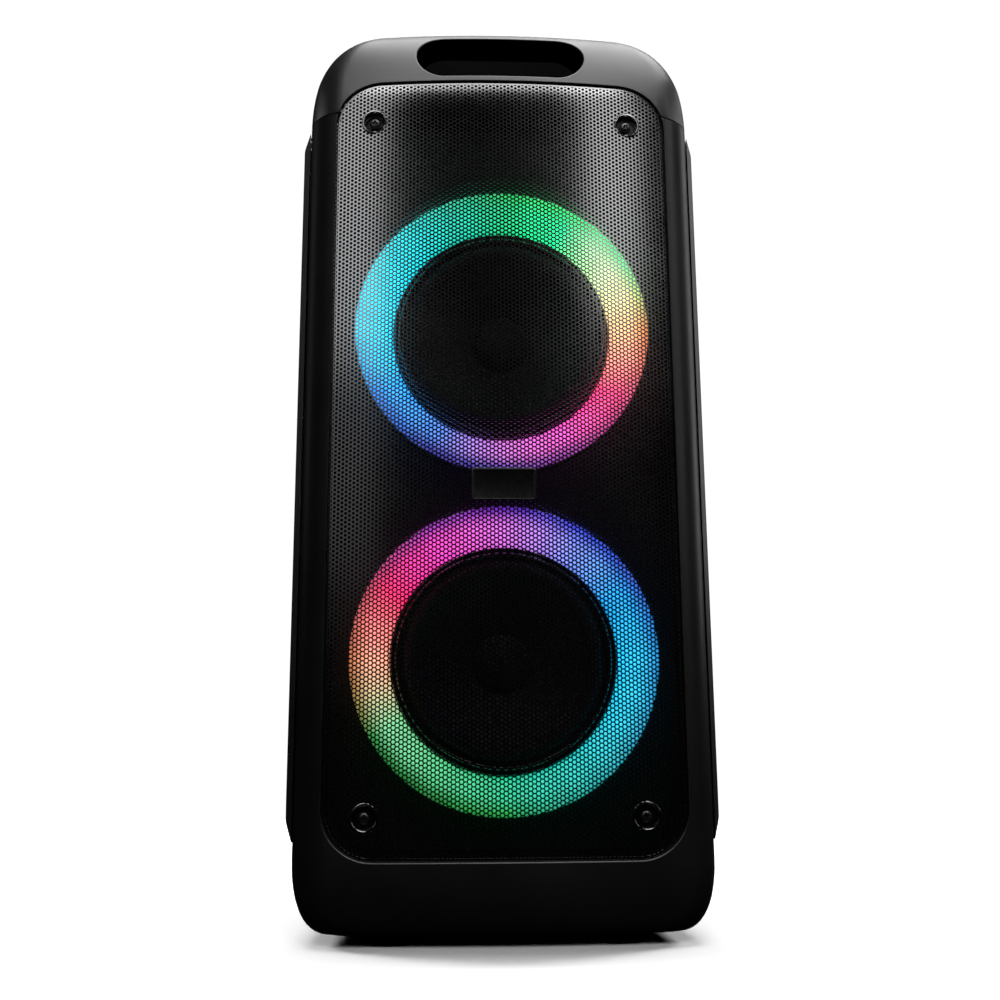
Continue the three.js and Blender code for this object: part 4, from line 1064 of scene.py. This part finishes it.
plate = stack(
    round_node("connection_panel", SOCKETS_CORNER - GAP, 0, "Y", 20),
    [(0, SOCKETS_LOW[1]), (0, back - 0.6), (-0.2, back - 0.2), (-0.6, back)],
    "Y",
)
holes = [through_plate(round_node("usb_socket", 0.5, GAP, "Y", steps=5))]
holes.append(through_plate(round_node("mains_inlet", 0.6, GAP, "Y", steps=5)))
x, _, z = middle("power_rocker")
half_x, half_z = ROCKER_HOLE
holes.append(through_plate(rounded(x - half_x, z - half_z, x + half_x, z + half_z, 1.2, steps=5)))
holes += [through_plate(disc(*middle(name)[::2], across(name) + GAP, 64)) for name in JACKS]
countersink = [(0, back + 1), (4.4, back + 1), (3.6, back - 0.4), (3.2, back - 1.6), (0, back - 1.6)]
holes += [turned(countersink, centre, "Y", 40) for centre in SOCKETS_SCREWS]
piece("socket_plate", carve(plate, *holes), SHELL, ["connection_panel"], weighted=True)

for k, (x, z) in enumerate(SOCKETS_SCREWS, 1):
    head = [(0, back - 1.5), (2.9, back - 1.5), (3.0, back - 0.9), (2.2, back - 0.35), (0, back - 0.2)]
    cross = []
    for half_u, half_v in ((1.6, 0.35), (0.35, 1.6)):
        arm = rounded(x - half_u, z - half_v, x + half_u, z + half_v, 0.2, steps=3)
        cross.append(stack(arm, [(0.2, back + 3), (0, back - 1.1)], "Y"))
    piece(f"panel_screw_{k}", carve(turned(head, (x, z), "Y", 40), *cross), SCREW_STEEL)

for name in JACKS:
    low, high = extent(name)
    x, _, z = middle(name)
    nut = across(name)
    profile = [
        (0, low[1]), (nut, low[1]), (nut, back - 1.0),
        (nut - 0.4, back - 0.35), (nut - 1.1, back - 0.05), (nut - 1.8, back - 0.3),
        (nut - 2.3, back - 0.35), (3.9, back - 0.1), (3.45, back - 0.35),
        (3.25, back - 1.0), (3.25, low[1] + 2), (0, low[1] + 2),
    ]
    piece(f"{name}_barrel", turned(profile, (x, z), "Y", 64), GLOSS, [name])

# The port's bore flares to the rear like a trumpet
bore, mouth = PORT_OUTER - 3, PORT_OUTER - 0.8
tube = [(bore, port_front), (bore + 1.4, port_front + 0.1), (PORT_OUTER, port_front + 1.2)]
tube += [(PORT_OUTER, back - 0.6), (PORT_OUTER - 0.3, back - 0.1), (mouth, back)]
for angle in np.linspace(0.12, math.pi / 2, 10):
    tube.append((mouth - 2.2 * math.sin(angle), back - 14 * (1 - math.cos(angle))))
piece("port_tube", turned(tube, (PORT_X, PORT_Z), "Y", 96), SHELL, ["bass_port"])


# ---- feet

for k in range(1, 5):
    name = f"foot_{k}"
    radius, top = across(name), extent(name)[1][2]
    shape = [
        (0, 0.5), (radius - 9, 0.5), (radius - 8.4, 0), (radius - 1.6, 0),
        (radius - 0.4, 0.5), (radius, 1.6), (radius, 3.2), (radius - 0.7, 3.6),
        (radius - 0.7, 4.4), (radius, 4.8), (radius, top), (0, top),
    ]
    piece(f"foot_pad_{k}", turned(shape, middle(name)[:2], "Z", 96), RUBBER, [name])


# ---- CAD nodes shown as they are

KEPT = {
    "baffle_board": FIBREBOARD,
    "light_controller": BOARD,
    "control_board": BOARD,
    "amplifier_board": BOARD,
    "power_supply": BOARD,
    "heat_sink": METAL,
    "battery_pack": BATTERY_WRAP,
    "usb_socket": METAL,
    "mains_inlet": SHELL,
    "power_rocker": GLOSS,
}
for word in ("upper", "lower"):
    KEPT[f"led_board_{word}"] = BOARD
    KEPT[f"basket_{word}"] = SCREW_STEEL
    KEPT[f"magnet_{word}"] = FERRITE
    KEPT[f"spider_{word}"] = CLOTH
    KEPT[f"voice_coil_{word}"] = COPPER
for name, material in KEPT.items():
    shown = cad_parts[name]
    shown.data.materials.clear()
    shown.data.materials.append(material)


# ---- floor, light and camera


def stage_material(name, diffuse, near, far):
    """Pale and matt, and lit from within so that it reaches white away from the object."""
    material, tree, shader = new_material(name)
    fixed = {"Roughness": 1, "Specular IOR Level": 0, "Emission Color": (1,) * 4}
    fixed["Base Color"] = (diffuse, diffuse, diffuse, 1)
    for key, value in fixed.items():
        shader.inputs[key].default_value = value
    where = node(tree, "ShaderNodeTexCoord").outputs["Object"]
    away = node(tree, "ShaderNodeVectorMath", {0: where}, operation="LENGTH").outputs["Value"]
    tree.links.new(spread_to(tree, away, near, far, 0.4, 2.0), shader.inputs["Emission Strength"])
    return material


def staged(name, mesh, material):
    mesh.materials.append(material)
    made = in_scene(name, mesh)
    made.visible_diffuse = False
    made.visible_glossy = False
    return made


def around(radius, height):
    return [(x, y, height) for x, y in arc(0, 0, radius, 0, 2 * math.pi, 64)[:-1]]


DOME_RADIUS = 9000
DOME_RINGS = 24
floor_mesh = mesh_of(around(DOME_RADIUS, 0), [tuple(range(64))])
floor = staged("floor", floor_mesh, stage_material("pale_floor", 0.8, 0.0, 1.05))
dome_points = []
for angle in np.linspace(-0.02, math.pi / 2, DOME_RINGS):
    dome_points += around(max(DOME_RADIUS * math.cos(angle), 1), DOME_RADIUS * math.sin(angle))
dome_mesh = mesh_of(dome_points, ring_faces(DOME_RINGS, 64, closed=False)[:-2])
backdrop = staged("backdrop", dome_mesh, stage_material("backdrop_white", 0.0, 1.05, 1.05))
backdrop.visible_shadow = False


def lit_group(name, pieces, state):
    """What a lamp lights: only these pieces (INCLUDE), or everything but these (EXCLUDE)."""
    group = bpy.data.collections.new(name)
    for made in pieces:
        group.objects.link(made)
    for member in group.collection_objects:
        member.light_linking.link_state = state
    return group


FLOOR = lit_group("floor_only", [floor], "INCLUDE")
OBJECT = lit_group("all_but_floor", [floor], "EXCLUDE")
SIDES = lit_group("sides_only", [floor, front_piece, rear_piece], "EXCLUDE")


def softbox(name, lights, azimuth, elevation, distance, width, height, power):
    """A rectangular lamp. Azimuth 0 is straight in front, positive to the right. It faces what it lights."""
    lamp = bpy.data.lights.new(name, "AREA")
    lamp.shape = "RECTANGLE"
    lamp.size, lamp.size_y = width, height
    lamp.energy = power
    made = in_scene(name, lamp)
    a, e = math.radians(azimuth), math.radians(elevation)
    away = Vector((math.sin(a) * math.cos(e), -math.cos(a) * math.cos(e), math.sin(e)))
    target = Vector((0, 0, 0 if lights is FLOOR else 0.4))
    made.location = target + away * distance
    made.rotation_mode = "QUATERNION"
    made.rotation_quaternion = away.to_track_quat("Z", "Y")
    made.light_linking.receiver_collection = lights


softbox("key_left", OBJECT, -24, 34.5, 2.4, 0.42, 1.4, 5.6)
softbox("key_left_low", OBJECT, -24, 12, 2.4, 0.42, 0.6, 0.3)
softbox("key_right", OBJECT, 22, 37, 2.4, 0.36, 1.4, 6.3)
softbox("overhead", OBJECT, 90, 80, 2.1, 2.0, 1.8, 54)
softbox("corner_right", OBJECT, 64, 26, 2.2, 0.35, 1.5, 3.2)
softbox("rim_right", OBJECT, 122, 22, 2.2, 0.5, 1.5, 3.6)
softbox("rim_left", OBJECT, -115, 25, 2.2, 0.3, 1.4, 0.4)
softbox("brow", OBJECT, 0, 54, 2.4, 1.6, 0.7, 17)
softbox("rear", OBJECT, 180, 24, 3.0, 1.1, 2.0, 120)
softbox("side_left", SIDES, -92, 20, 2.8, 1.2, 1.6, 7)
softbox("side_right", SIDES, 92, 20, 2.8, 1.2, 1.6, 13)
softbox("floor_lamp", FLOOR, 180, 82.5, 3.2, 3.0, 0.84, 150)
softbox("floor_front", FLOOR, 0, 30, 2.4, 1.6, 1.0, 32)
softbox("floor_left", FLOOR, -120, 30, 2.4, 0.6, 0.6, 45)
softbox("floor_right", FLOOR, 120, 30, 2.4, 0.6, 0.6, 45)

world = bpy.data.worlds.new("studio")
bpy.context.scene.world = world
world.use_nodes = True
background = world.node_tree.nodes["Background"]
background.inputs["Color"].default_value = (1, 1, 1, 1)
background.inputs["Strength"].default_value = 0.004

# The camera stands low, in front and slightly to the left, and looks up (metres and degrees)
VIEW_FROM = (-0.0393, -1.0299, 0.1092)
VIEW_LENS = 45.62
VIEW_YAW, VIEW_PITCH, VIEW_ROLL = (math.radians(v) for v in (-2.389, 12.456, 0.386))
level = Vector((math.cos(VIEW_YAW), math.sin(VIEW_YAW), 0))
ahead = Vector((-math.sin(VIEW_YAW), math.cos(VIEW_YAW), 0))
forward = ahead * math.cos(VIEW_PITCH) + Vector((0, 0, math.sin(VIEW_PITCH)))
upward = level.cross(forward)
camera_x = level * math.cos(VIEW_ROLL) - upward * math.sin(VIEW_ROLL)
camera_y = level * math.sin(VIEW_ROLL) + upward * math.cos(VIEW_ROLL)
camera = in_scene("camera", bpy.data.cameras.new("camera"))
camera.data.sensor_width = 36
camera.data.lens = VIEW_LENS
turned_to = Matrix((camera_x, camera_y, -forward)).transposed().to_4x4()
camera.matrix_world = Matrix.Translation(VIEW_FROM) @ turned_to
bpy.context.scene.camera = camera
bpy.context.scene.view_settings.view_transform = "Standard"
